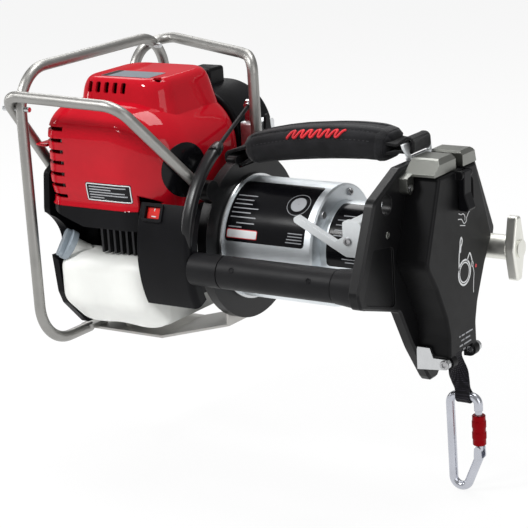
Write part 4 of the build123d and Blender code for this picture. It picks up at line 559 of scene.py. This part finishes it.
def flowing(points, steps=6):
    """A smooth line through the points, as a printed stroke runs."""
    found = []
    for i in range(len(points) - 1):
        a, b = points[i], points[i + 1]
        before = points[i - 1] if i else a * 2 - b
        after = points[i + 2] if i + 2 < len(points) else b * 2 - a
        for step in range(steps):
            t = step / steps
            found.append(0.5 * ((2 * a) + (b - before) * t + (2 * before - 5 * a + 4 * b - after) * t ** 2
                                + (3 * a - before - 3 * b + after) * t ** 3))
    return found + [points[-1]]


def thread(points, normals, radius, sides=6, sink=0.3):
    """A round thread through points of a surface, with closed rounded ends."""
    rings = []
    last = len(points) - 1
    for i, (point, normal) in enumerate(zip(points, normals)):
        run = (points[min(i + 1, last)] - points[max(i - 1, 0)]).normalized()
        side = normal.cross(run).normalized()
        lift = run.cross(side)
        middle = point + normal * radius * (1 - 2 * sink)
        thick = radius * (0.55 if i in (0, last) else 1)
        rings.append([middle + (side * cos(a) + lift * sin(a)) * thick for a in circle(sides)])
    return skin(rings)


def stitches(points, normals):
    """Single stitches along a line of surface points."""
    found, current, walked = [], [], 0.0
    for i in range(1, len(points)):
        walked += (points[i] - points[i - 1]).length
        if walked % (STITCH + STITCH_GAP) < STITCH:
            current.append(i)
        elif len(current) > 2:
            found.append(thread([points[k] for k in current], [normals[k] for k in current], STITCH_R))
            current = []
    return found


# Carrying strap: a padded sleeve round the webbing, blown up as cloth and then sewn

PAD_WIDTH, PAD_THICK, PAD_ROUND, PAD_SHRINK = 52.0, 36.0, 13.0, 0.4
# Each station: X, height, slope in degrees and share of the full section
PAD_STATIONS = [(-243, 103, 16, 0.8), (-228, 107, 15, 0.97), (-185, 115.5, 9, 1), (-140, 120.5, 5, 1),
                (-100, 122.5, 1, 1), (-70, 121.5, -5, 0.98), (-55, 119.5, -8, 0.85)]
PAD_FIRST, PAD_LAST = PAD_STATIONS[0][0], PAD_STATIONS[-1][0]
PAD_VOXEL, PAD_PRESSURE, PAD_SWELL = 0.0042, 4.0, 0.0045
# Each seam: angle round the pad's middle line, depth in millimetres and half width in degrees
PAD_SEAMS = ((13.0, 1.4, 4.5), (39.0, 0.8, 3.5))
PAD_RAY = 80
PAD_RUN, BAND_RUN, SEAM_RUN = (-242.5, 187, 40), (-236, 174, 58), (-227, 156, 260)  # start, length, steps
BAND_ANGLES, BAND_LIFT, BAND_RIM, BAND_SUNK = (41, 44, 49, 55, 61, 66, 69), 1.0, 0.15, 0.8
# Section of a bound end: share of its width, from the outer side, and lift above the skin
END_SECTION = ((0, -0.8), (0, 0.5), (0.2, 1.1), (0.8, 1.1), (1, 0.4), (1, -0.8), (0.5, -0.9), (0, -0.8))


def pad_frame(along):
    """Middle of the pad at a place along X, its upward direction and its share of the full section."""
    for (x0, z0, s0, k0), (x1, z1, s1, k1) in zip(PAD_STATIONS, PAD_STATIONS[1:]):
        if along <= x1:
            break
    run = x1 - x0
    t = (along - x0) / run
    h00, h10 = 2 * t ** 3 - 3 * t ** 2 + 1, t ** 3 - 2 * t ** 2 + t
    h01, h11 = -2 * t ** 3 + 3 * t ** 2, t ** 3 - t ** 2
    height = h00 * z0 + h10 * run * tan(radians(s0)) + h01 * z1 + h11 * run * tan(radians(s1))
    slope = radians(s0 + (s1 - s0) * t)
    return Vector((along, 0, height)), Vector((-sin(slope), 0, cos(slope))), k0 + (k1 - k0) * t


def pad_ring(along):
    """A rounded section of the pad before it swells."""
    middle, lift, share = pad_frame(along)
    half = (PAD_WIDTH / 2 - PAD_SHRINK) * share
    tall = (PAD_THICK / 2 - PAD_SHRINK) * share
    flat = rounded(half, tall, min(PAD_ROUND, tall - 1), 7)
    return [middle + Vector((0, a, 0)) + lift * b for a, b in flat]


def modified(obj):
    """The object as its modifiers shape it."""
    scene.view_layers[0].update()
    return obj.evaluated_get(bpy.context.evaluated_depsgraph_get())


def settle(obj):
    """Put the object's modifiers into its mesh."""
    shape = bpy.data.meshes.new_from_object(modified(obj))
    obj.modifiers.clear()
    old = obj.data
    obj.data = shape
    shape.name = old.name
    bpy.data.meshes.remove(old)


def blow_up(obj, pressure, cap, frames=20):
    """Swell a closed skin as cloth under pressure; no point moves further than the cap."""
    start = [v.co.copy() for v in obj.data.vertices]
    cloth = obj.modifiers.new("cloth", "CLOTH")
    settings = cloth.settings
    settings.use_pressure = True
    settings.uniform_pressure_force = pressure
    settings.effector_weights.gravity = 0
    settings.tension_stiffness = settings.compression_stiffness = 30
    settings.shear_stiffness = 12
    settings.bending_stiffness = 2
    settings.quality = 6
    cloth.point_cache.frame_start = 1
    cloth.point_cache.frame_end = frames
    for step in range(1, frames + 1):
        scene.frame_set(step)
    moved = [v.co.copy() for v in modified(obj).data.vertices]
    obj.modifiers.clear()
    scene.frame_set(1)
    for vertex, before, after in zip(obj.data.vertices, start, moved):
        step = after - before
        if step.length > cap:
            step = step.normalized() * cap
        vertex.co = before + step


pad_rings = [pad_ring(along) for along in spaced(*PAD_RUN)]
pad = build("strap_pad_cover", [skin(pad_rings)], "pad", crease=180)
remesh = pad.modifiers.new("remesh", "REMESH")
remesh.mode = "VOXEL"
remesh.voxel_size = PAD_VOXEL
smooth = pad.modifiers.new("smooth", "SMOOTH")
smooth.factor = 0.5
smooth.iterations = 4
settle(pad)
blow_up(pad, PAD_PRESSURE, PAD_SWELL)
finer = pad.modifiers.new("finer", "SUBSURF")
finer.levels = 1
finer.render_levels = 1
settle(pad)


def seam_depth(point):
    """How far the sewing pulls the cloth in near the long seams, in millimetres."""
    middle, lift = pad_frame(min(PAD_LAST, max(PAD_FIRST, point.x)))[:2]
    angle = degrees(atan2((point - middle).dot(lift), abs(point.y)))
    return sum(depth * exp(-((angle - at) / wide) ** 2) for at, depth, wide in PAD_SEAMS)


pulled = [seam_depth(v.co / MM) * MM for v in pad.data.vertices]
outward = [v.normal.copy() for v in pad.data.vertices]
for vertex, depth, normal in zip(pad.data.vertices, pulled, outward):
    vertex.co -= normal * depth
pad.data.shade_smooth()
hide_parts("strap_pad")
pad_skin = surface_of(pad)


def pad_round(along, angle):
    """A point of the pad's skin, and its normal, at an angle round its middle line, 90 degrees on top."""
    middle, lift = pad_frame(along)[:2]
    out = Vector((0, cos(radians(angle)), 0)) + lift * sin(radians(angle))
    return touch(pad_skin, middle + out * PAD_RAY, -out)


def pad_band(places, angles):
    """A strip of binding that follows the skin over a grid of places and angles, thin at its rim."""
    top, low = [], []
    for i, along in enumerate(places):
        row_top, row_low = [], []
        for j, angle in enumerate(angles):
            point, normal = pad_round(along, angle)
            rim = i in (0, len(places) - 1) or j in (0, len(angles) - 1)
            row_top.append(point + normal * (BAND_RIM if rim else BAND_LIFT))
            row_low.append(point - normal * BAND_SUNK)
        top.append(row_top)
        low.append(row_low)
    return slab(top, low)


def end_ring(places, sides=48):
    """A bound end: a ring of binding right round the pad."""
    rings = []
    for along, lift in places:
        ring = []
        for i in range(sides):
            point, normal = pad_round(along, 360 * i / sides)
            ring.append(point + normal * lift)
        rings.append(ring)
    return skin(rings, capped=False)


binding = [pad_band(spaced(*BAND_RUN), angles) for angles in ([180 - a for a in BAND_ANGLES], BAND_ANGLES)]
for outer, run in ((-60.0, -9.0), (-238.0, 9.0)):
    binding.append(end_ring([(outer + run * share, lift) for share, lift in END_SECTION]))
build("strap_pad_binding", binding, "binding", crease=60)

sewing = []
seam_angles = [seam[0] for seam in PAD_SEAMS]
for angle in seam_angles + [180 - at for at in seam_angles]:
    sewing += stitches(*zip(*(pad_round(along, angle) for along in spaced(*SEAM_RUN))))
build("strap_pad_stitches", sewing, "thread", crease=180)

ZIG_START, ZIG_PITCH, ZIG_LOW, ZIG_HIGH, ZIG_SLANT = -180.0, 10.8, 162.0, 144.5, 5.0
ZIG_SQUARE, ZIG_PHASE, ZIG_STEPS, ZIG_POINTS = 2.0, 0.2, 24, 157
zigzag = []
for i in range(ZIG_POINTS):
    turn = i / ZIG_STEPS
    wave = tanh(ZIG_SQUARE * sin(2 * pi * (turn - ZIG_PHASE)))
    rise = 0.5 + 0.5 * wave / tanh(ZIG_SQUARE)
    along = ZIG_START + ZIG_PITCH * turn + ZIG_SLANT * rise
    zigzag.append(pad_round(along, ZIG_LOW + (ZIG_HIGH - ZIG_LOW) * rise))
build("strap_pad_zigzag", [thread(*zip(*zigzag), 1.5, 8, 0.35)], "red_thread", crease=180)

# Flat webbing: the strap's two loops, bent round the flange slot and the buckle

WEB_WIDTH, WEB_THICK = 38.0, 3.5
# Half section of a tape: distance in from the edge and share of the half thickness there
TAPE_EDGE, TAPE_MIDDLE = ((0, 0.35), (0.5, 0.85), (1.6, 1.0), (2.6, 0.86)), 0.84


def bent(points, radii):
    """A line through corner points in the X-Z plane with each corner turned on a radius."""
    points = [Vector((x, 0, z)) for x, z in points]
    line = [points[0]]
    for before, corner, after, radius in zip(points, points[1:], points[2:], radii):
        come, go = (corner - before).normalized(), (after - corner).normalized()
        turn = come.angle(go)
        begin = corner - come * radius * tan(turn / 2)
        inward = (go - come * come.dot(go)).normalized()
        steps = max(3, int(degrees(turn) / 9))
        for i in range(steps + 1):
            angle = turn * i / steps
            line.append(begin + come * radius * sin(angle) + inward * radius * (1 - cos(angle)))
    return line + [points[-1]]


def tape(line, sides, widths, thick):
    """Webbing along a line: thicker rolled edges and a slightly sunk middle."""
    rings = []
    last = len(line) - 1
    for i, point in enumerate(line):
        run = (line[min(i + 1, last)] - line[max(i - 1, 0)]).normalized()
        side = (sides[i] - run * run.dot(sides[i])).normalized()
        normal = run.cross(side)
        half, flat = widths[i] / 2, thick / 2
        section = [(-half + a, b) for a, b in TAPE_EDGE] + [(0, TAPE_MIDDLE)]
        section += [(half - a, b) for a, b in reversed(TAPE_EDGE)]
        ring = [point + side * a + normal * flat * b for a, b in section]
        ring += [point + side * a - normal * flat * b for a, b in reversed(section)]
        rings.append(ring)
    return skin(rings)


rear_line = bent([(-236, 95.6), (-248, 88), (-269.5, 88), (-269.5, 100.55), (-239, 109)], [6, 6, 6])
front_line = bent([(-62, 113.4), (-40, 116.8), (-23.75, 117), (-23.75, 132.5), (-32, 132.5), (-44, 123.5),
                   (-62, 125.6)], [8, 4, 5, 5, 8])
bands = [tape(line, [Y_AXIS] * len(line), [WEB_WIDTH] * len(line), WEB_THICK)
         for line in (rear_line, front_line)]
webbing = build("strap_webbing_bands", bands, "webbing", crease=50)
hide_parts("strap_webbing")

# Sling: one endless webbing loop, flat round the anchor pin and turned a quarter to the carabiner bar

SLING_PIN, SLING_BAR = Vector((6, 0, -108)), Vector((19, 0, -158))
PIN_TURN, BAR_TURN, LAYER_OFF = 4.75, 6.75, 1.35
SLING_WIDE, SLING_NARROW, SLING_THICK = 26, 17, 2.3
TWIST_START, TWIST_SHARE, PIN_SPREAD, BAR_SPREAD = 0.12, 0.76, 0.2, 0.25
HALF_TURN, RUN_STEPS = 12, 24
sling_steps = []  # a point, the direction across the webbing and its width


def sling_run(layer, places):
    """One of the two layers between the pin and the bar; layer is 1 in front and -1 behind."""
    for t in places:
        share = min(1, max(0, (t - TWIST_START) / TWIST_SHARE))
        turn = pi / 2 * share * share * (3 - 2 * share)
        apart = LAYER_OFF
        apart += (PIN_TURN - LAYER_OFF) * max(0, 1 - t / PIN_SPREAD) ** 2
        apart += (BAR_TURN - LAYER_OFF) * max(0, 1 - (1 - t) / BAR_SPREAD) ** 2
        normal = Vector((cos(turn), -sin(turn), 0))
        sling_steps.append((SLING_PIN.lerp(SLING_BAR, t) + normal * layer * apart,
                            Vector((sin(turn), cos(turn), 0)),
                            SLING_WIDE - (SLING_WIDE - SLING_NARROW) * share))


for i in range(HALF_TURN):
    angle = pi * (1 - i / HALF_TURN)
    point = SLING_PIN + Vector((cos(angle), 0, sin(angle))) * PIN_TURN
    sling_steps.append((point, Y_AXIS, SLING_WIDE))
sling_run(1, spaced(0, 1, RUN_STEPS))
for i in range(1, HALF_TURN):
    angle = pi * i / HALF_TURN
    point = SLING_BAR + Vector((0, -cos(angle), -sin(angle))) * BAR_TURN
    sling_steps.append((point, X_AXIS, SLING_NARROW))
sling_run(-1, spaced(0, 1, RUN_STEPS)[::-1])
sling_loop = tape(*zip(*sling_steps), SLING_THICK)
sling = build("sling_webbing", [sling_loop], "sling", "sling", crease=50)
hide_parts("sling")

# Lock sleeve: two knurled bands with plain lands between them

BAND_HIGH, BAND_PLACES, BAND_CHAMFER = 7, (-9.5, 3.5), 0.8
KNURLS, KNURL_OUT, KNURL_DEEP = 30, 0.35, 0.22
sleeve_low, sleeve_high = (Vector(corner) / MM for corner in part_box("carabiner_sleeve"))
sleeve_middle = (sleeve_low + sleeve_high) / 2
sleeve_r = (sleeve_high.y - sleeve_low.y) / 2


def knurled(angle):
    return sleeve_r + KNURL_OUT + KNURL_DEEP * cos(KNURLS * angle)


band_end, band_in, band_rim = BAND_HIGH + BAND_CHAMFER, sleeve_r - 0.3, sleeve_r + 0.15
sleeve_bands = []
for off in BAND_PLACES:
    at = Vector((sleeve_middle.x, sleeve_middle.y, sleeve_middle.z + off))
    sleeve_bands.append(turned(at, Z_AXIS, [
        (-BAND_CHAMFER, band_in), (-BAND_CHAMFER, band_rim), (0, knurled), (BAND_HIGH, knurled),
        (band_end, band_rim), (band_end, band_in)], 180))
build("sleeve_bands", sleeve_bands, "red_alu", "sleeve", crease=50)

# Throttle cable: a taut outer cable from the boot on the shroud to the adjuster

cable_route = [(-258.84, -47.85, 114.07), (-266.4, -17.8, 121.5), (-275.2, 17.0, 130.2), (-284, 52, 139)]
cable_data = bpy.data.curves.new("throttle_cable_cord", "CURVE")
cable_data.dimensions = "3D"
spline = cable_data.splines.new("NURBS")
spline.points.add(len(cable_route) - 1)
for point, at in zip(spline.points, cable_route):
    point.co = (*(Vector(at) * MM), 1)
spline.order_u = 3
spline.use_endpoint_u = True
cable_data.bevel_depth = 0.0025
cable_data.bevel_resolution = 5
cable_data.use_fill_caps = True
cable_data.materials.append(looks["rubber"])
cable = add_object("throttle_cable_cord", cable_data)
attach(cable, "frame")
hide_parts("throttle_cable")

# Boot over the shroud's tail: a rounded sleeve that leads the cable down into the shroud

TAIL_X, TAIL_R, TAIL_TOP, TAIL_FOOT = -256.0, 126.0, 118.0, 176.0
BOOT_ROWS, BOOT_FOOT_ROWS, BOOT_TURN_ROWS, BOOT_SQUARE = 38, 14, 6, 0.67
BOOT_WIDE, BOOT_DEEP, TOP_LEAN, TOP_SWELL = 7.3, 5.6, 0.4, 0.5
FOOT_SUNK, FOOT_NARROWER, FOOT_FLATTER = 2.5, 2.2, 3.4
# Rings along the cable: distance from the tail's top, half width and half depth
BOOT_NECK = ((2, 7.2, 6.4), (6, 7.0, 6.5), (11, 6.4, 6.2), (15.5, 5.7, 5.7), (16.8, 4.6, 4.6))
cable_out = (Vector(cable_route[-1]) - Vector(cable_route[0])).normalized()


def squared(value):
    """A cosine or sine drawn towards a square section."""
    return copysign(abs(value) ** BOOT_SQUARE, value)


def boot_ring(middle, run, wide, deep):
    """A rounded section square to the run; wide is its half width along X and deep its half depth."""
    side = (X_AXIS - run * run.dot(X_AXIS)).normalized()
    depth = run.cross(side)
    return [middle + side * squared(cos(a)) * wide + depth * squared(sin(a)) * deep for a in circle(32)]


boot_rings = []
for i, angle in enumerate(spaced(TAIL_FOOT, TAIL_TOP + 2 - TAIL_FOOT, BOOT_ROWS)):
    sunk = max(0, 1 - i / BOOT_FOOT_ROWS) ** 2
    turn_in = max(0, (i - BOOT_ROWS + BOOT_TURN_ROWS) / BOOT_TURN_ROWS)
    middle, out = on_barrel(TAIL_R - FOOT_SUNK * sunk, TAIL_X, angle)
    run = Vector((0, out.z, -out.y)).lerp(cable_out, TOP_LEAN * turn_in)
    boot_rings.append(boot_ring(middle, run, BOOT_WIDE - FOOT_NARROWER * sunk,
                                BOOT_DEEP - FOOT_FLATTER * sunk + TOP_SWELL * turn_in))
boot_top = on_barrel(TAIL_R, TAIL_X, TAIL_TOP)[0]
for far, wide, deep in BOOT_NECK:
    boot_rings.append(boot_ring(boot_top + cable_out * far, cable_out, wide, deep))
build("shroud_boot", [skin(boot_rings)], "boot", crease=50)

# Labels on the gearbox and its neck: black foil with plain printed lines, no words

BARREL, NECK = 70.0, 51.5
# Printed lines: start and end along X, and angle round the barrel
LEFT_LINES = ((-239.5, -214, 124), (-239.5, -216, 129), (-239.5, -216, 133.5), (-239.5, -206, 138),
              (-239.5, -214, 142.5), (-239.5, -206, 147), (-230, -206, 152.5), (-239.5, -222, 156.4))
RIGHT_LINES = ((-160, -141, 157.5), (-160, -141, 160.3), (-161, -141, 163.1), (-162, -141, 165.9))
NECK_LINES = ((-108, -80, 124), (-113, -86, 131), (-113, -88, 138), (-113, -88, 145), (-113, -90, 152),
              (-113, -90, 159), (-100, -70, 180), (-96, -70, 184))
DISC_X, DISC_ANGLE = -157, 128.5
RIM_SECTION = ((-0.05, 69.5), (-0.05, 72.6), (1.2, 73.4), (3.2, 73.4), (4.4, 72.6), (4.4, 69.5))
build("gearbox_label", [wrapped(BARREL, -243, -138, 102, 170, 4)], "foil")
build("gearbox_label_frame", [wrapped(BARREL, -241, -200, 158.4, 167, 2, 0.24)], "red_print")
build("gearbox_label_plate", [wrapped(BARREL, -240.2, -200.8, 159.1, 166.3, 1.4, 0.32)], "white_print")
printed = [bar_on_barrel(BARREL, *line, 1.3) for line in LEFT_LINES]
printed += [bar_on_barrel(BARREL, *line, 1.1) for line in RIGHT_LINES]
build("gearbox_label_lines", printed, "grey_print")
build("gearbox_label_disc", [disc_on_barrel(BARREL, DISC_X, DISC_ANGLE, 9.5, 0.3),
                             disc_on_barrel(BARREL, DISC_X, DISC_ANGLE, 14.6, 0.26, 13.9)],
      "grey_print")
build("gearbox_rim", [turned((-250, 0, 0), X_AXIS, RIM_SECTION, 96)], "bright")
build("neck_label", [wrapped(NECK, -120, -37, 98, 191, 4)], "foil")
printed = [bar_on_barrel(NECK, *line, 1.2) for line in NECK_LINES]
build("neck_label_lines", printed, "grey_print")
build("neck_label_title", [bar_on_barrel(NECK, -86, -62, 113, 3.2)], "red_print")

# Screws

RING_X, RING_R, RING_SCREWS, RING_FIRST = -128, 60.5, 6, 132.6
ring_screws = [screw(on_barrel(RING_R, RING_X, RING_FIRST + 360 / RING_SCREWS * i)[0], X_AXIS, 4.2, 2.6)
               for i in range(RING_SCREWS)]
build("gearbox_screws", ring_screws, "steel")
build("head_plate_screw", [screw((-18, -88.8, 44.2), X_AXIS, 4.0, 0.7, "star")], "guide")
build("rope_guide_screw", [screw((-12, -54.5, 88), X_AXIS, 4.3, 2.2)], "steel")
build("hinge_screws", [screw((16, -38, -111), -Y_AXIS, 5.2, 2.2, "star"),
                       screw((16, 38, -111), Y_AXIS, 5.2, 0.8, "star")], "steel")
build("lever_screw", [screw((-76, -76, 28.4), -Y_AXIS, 4.6, 2.2)], "steel", "descent")

# Twist grip: two small moulded plugs

GRIP_MIDDLE, PLUG_AT = Vector((0, -118, -9)), 18.3
PLUG_SECTION = ((-0.6, 3.4), (0.25, 3.4), (0.5, 3.1), (0.5, 2.4), (0.2, 2.2))
plugs = []
for x, angle in ((-190.4, 152), (-91.2, 156)):
    point, out = on_barrel(PLUG_AT, x, angle)
    plugs.append(turned(GRIP_MIDDLE + point, out, PLUG_SECTION, 28))
build("grip_plugs", plugs, "plastic", "grip")

# Lid: a printed drawing of a rope led round a sheave, and plain lines at the foot, without words

LID_FRONT, LID_LIFT = 20.0, 0.1
# Strokes of the drawing: width, and points across and up the lid
LID_STROKES = (
    (2.1, ((-5.6, -14), (-4.4, 2), (-1.6, 14), (-0.8, 19), (1.4, 22.4), (3.6, 19.4), (2.6, 15.2), (0.4, 12.6),
           (-1.2, 6))),
    (1.9, ((13, -7), (17.5, -1.5), (20, 0.5), (22.4, -2.5), (25, -9))),
    (1.3, ((25, -9), (27.2, -12.5), (26.4, -16), (24, -15), (24.4, -11), (25, -9))),
    (1.2, ((26.4, -16), (28.6, -24), (27.4, -32), (26.4, -40), (26.2, -46))),
    (1.0, ((-4, 44), (4, 42), (9, 36.6), (14, 37.4), (16, 42), (22, 47), (27, 49), (28, 54))),
    (1.0, ((0, 36.4), (7, 34.6), (12, 33.4))),
    (1.0, ((-2, 50), (3, 47.6), (8, 47.4), (11.6, 44), (11.4, 39.6))),
)
# Lines at the lid's foot: height, and start and end of each dash
LID_DASHES = ((-87, ((-10, -7), (-4.5, 2.5), (5, 21))), (-92.5, ((-6, 1.5), (4, 15))),
              (-98, ((-10, -2), (0.5, 17))))


def printed_line(points, width, smooth=True):
    line = [Vector((LID_FRONT, y, z)) for y, z in points]
    if smooth:
        line = flowing(line)
    return ribbon(line, [X_AXIS] * len(line), width, LID_LIFT)


def printed_ring(y, z, radius, width):
    turns = spaced(0, 2 * pi, 40)
    return printed_line([(y + radius * cos(a), z + radius * sin(a)) for a in turns], width, False)


drawing = [printed_ring(6.7, -18, 13.8, 2.1), printed_ring(6.7, -18, 11.0, 1.5)]
drawing += [printed_line(points, width) for width, points in LID_STROKES]
build("lid_drawing", drawing, "white_print", "lid", crease=60)
build("lid_drawing_mark", [printed_ring(33.6, -17.4, 1.2, 1.8)], "red_print", "lid", crease=60)
lid_lines = []
for z, dashes in LID_DASHES:
    lid_lines += [printed_line([(start, z), (end, z)], 1.7, False) for start, end in dashes]
build("lid_lines", lid_lines, "grey_print", "lid", crease=60)

# Engine cover: a bordered plate with plain lines, a grey panel on the hump, a round mark and the left lug

PLATE_MIDDLE, PLATE_OUT, PLATE_MARGIN = Vector((-360, -120, 70)), (0.05, -1, 0), 27
PLATE_LINES = ((6.4, 52), (3.2, 31), (0, 50), (-3.2, 53), (-6.4, 20))  # height and length
PANEL_MIDDLE, STRIP_MIDDLE, PANEL_OUT = (-374, -44, 190), (-403.5, -44, 190), (0, -0.05, 1)
LUG_Y, LUG_Z = -103, 117
# Rings of the lug: X, half height and half width
LUG_RINGS = ((-452.5, 1.6, 13.5), (-462, 1.5, 13.2), (-468, 1.3, 12), (-470, 0.7, 10.5))
LUG_SECTION = ((-1, -0.6), (-0.94, -1), (0.94, -1), (1, -0.6), (1, 0.6), (0.94, 1), (-0.94, 1), (-1, 0.6))
cover_skin = surface_of(nodes["engine_cover"])
build("cover_plate", [patch(cover_skin, PLATE_MIDDLE, PLATE_OUT, 63, 22, 2.2, 0.3)], "foil")
border = outline_on(cover_skin, PLATE_MIDDLE, PLATE_OUT, 60.6, 19.6, 1.6)
build("cover_plate_border", [ribbon(*border, 1.2, 0.5)], "satin", crease=60)
plate_lines = []
for rise, length in PLATE_LINES:
    middle = PLATE_MIDDLE + Vector((length / 2 - PLATE_MARGIN, 0, rise))
    plate_lines.append(patch(cover_skin, middle, PLATE_OUT, length, 1.4, 0.3, 0.45))
build("cover_plate_lines", plate_lines, "grey_print")
build("cover_panel", [patch(cover_skin, PANEL_MIDDLE, PANEL_OUT, 70, 34, 2.5, 0.25)], "panel_grey")
build("cover_panel_strip", [patch(cover_skin, STRIP_MIDDLE, PANEL_OUT, 9, 33, 1.5, 0.34)], "foil")
build("cover_mark", [round_mark(cover_skin, (-285, -76, 92), (0.86, -0.5, 0.06), 31, 0.3)], "foil")
lug_rings = [[Vector((x, LUG_Y + half * sy, LUG_Z + thick * sz)) for sy, sz in LUG_SECTION]
             for x, thick, half in LUG_RINGS]
build("cover_lug", [skin(lug_rings)], "red", crease=40)

# Stop switch: a plain upright and a plain bar printed on the rocker

SWITCH_TURN = radians(157)
switch_skin = surface_of(nodes["stop_switch"])
switch_low, switch_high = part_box("stop_switch")
switch_middle = (Vector(switch_low) + Vector(switch_high)) / (2 * MM)
switch_out = Vector((0, cos(SWITCH_TURN), sin(SWITCH_TURN)))
switch_up = switch_out.cross(X_AXIS)
build("switch_marks", [
    patch(switch_skin, switch_middle + switch_up * 3.6, switch_out, 1.2, 3.6, 0.4, 0.15),
    patch(switch_skin, switch_middle - switch_up * 4.2, switch_out, 6.0, 1.4, 0.4, 0.15),
], "white_print", "switch")

# Pale floor and soft studio light

FLOOR_REACH, FLOOR_GAP, FLOOR_SHADE, FLOOR_GLOW = 14.0, 0.001, 0.86, 0.88
WORLD_LIGHT = 0.34
MIDDLE = (-0.2, 0, 0)
# Lamps: name, place, size, power in watts and the point aimed at
LAMPS = (
    ("key_light", (-1.1, -1.6, 1.7), (0.6, 0.4), 36, MIDDLE),
    ("left_strip", (-2.0, -0.6, 0.6), (0.22, 1.1), 9, (-0.4, -0.1, 0.05)),
    ("fill_light", (1.9, -0.9, 0.7), (1.2, 1.6), 14, MIDDLE),
    ("top_light", (-0.1, 0.4, 2.0), (1.3, 0.8), 28, MIDDLE),
    ("rim_light", (-1.6, 1.4, 1.75), (1.2, 1.2), 17, MIDDLE),
)

scene.view_settings.view_transform = "Standard"
floor_z = cad_box[0][2] - FLOOR_GAP
floor_mesh = bpy.data.meshes.new("floor")
floor_mesh.from_pydata([(sx * FLOOR_REACH, sy * FLOOR_REACH, floor_z)
                        for sx, sy in ((-1, -1), (1, -1), (1, 1), (-1, 1))], [], [(0, 1, 2, 3)])
floor = add_object("floor", floor_mesh)

# The floor glows for rays that come straight from the view or by a mirror or glass
floor_look = Look("floor")
floor_look.put(Base_Color=(FLOOR_SHADE, FLOOR_SHADE, FLOOR_SHADE, 1), Roughness=0.9)
path = floor_look.add("ShaderNodeLightPath")
total = floor_look.add("ShaderNodeMath", operation="ADD")
seen = floor_look.add("ShaderNodeMath", operation="ADD", use_clamp=True)
share = floor_look.add("ShaderNodeMath", operation="MULTIPLY")
share.inputs[1].default_value = FLOOR_GLOW
glow = floor_look.add("ShaderNodeEmission", Strength=1.0)
mixed = floor_look.add("ShaderNodeMixShader")
for source, target in (
        (path.outputs["Is Camera Ray"], total.inputs[0]), (path.outputs["Is Glossy Ray"], total.inputs[1]),
        (total.outputs["Value"], seen.inputs[0]), (path.outputs["Is Transmission Ray"], seen.inputs[1]),
        (seen.outputs["Value"], share.inputs[0]), (share.outputs["Value"], mixed.inputs["Fac"]),
        (floor_look.main.outputs["BSDF"], mixed.inputs[1]), (glow.outputs["Emission"], mixed.inputs[2]),
        (mixed.outputs["Shader"], floor_look.tree.nodes["Material Output"].inputs["Surface"])):
    floor_look.link(source, target)
floor_mesh.materials.append(floor_look.material)

world = bpy.data.worlds.new("studio")
world.use_nodes = True
background = world.node_tree.nodes["Background"]
background.inputs["Color"].default_value = (1, 1, 1, 1)
background.inputs["Strength"].default_value = WORLD_LIGHT
scene.world = world

for name, at, size, power, aim in LAMPS:
    data = bpy.data.lights.new(name, "AREA")
    data.shape = "RECTANGLE"
    data.size, data.size_y = size
    data.energy = power
    lamp = add_object(name, data)
    lamp.location = at
    lamp.rotation_euler = (Vector(aim) - Vector(at)).to_track_quat("-Z", "Y").to_euler()
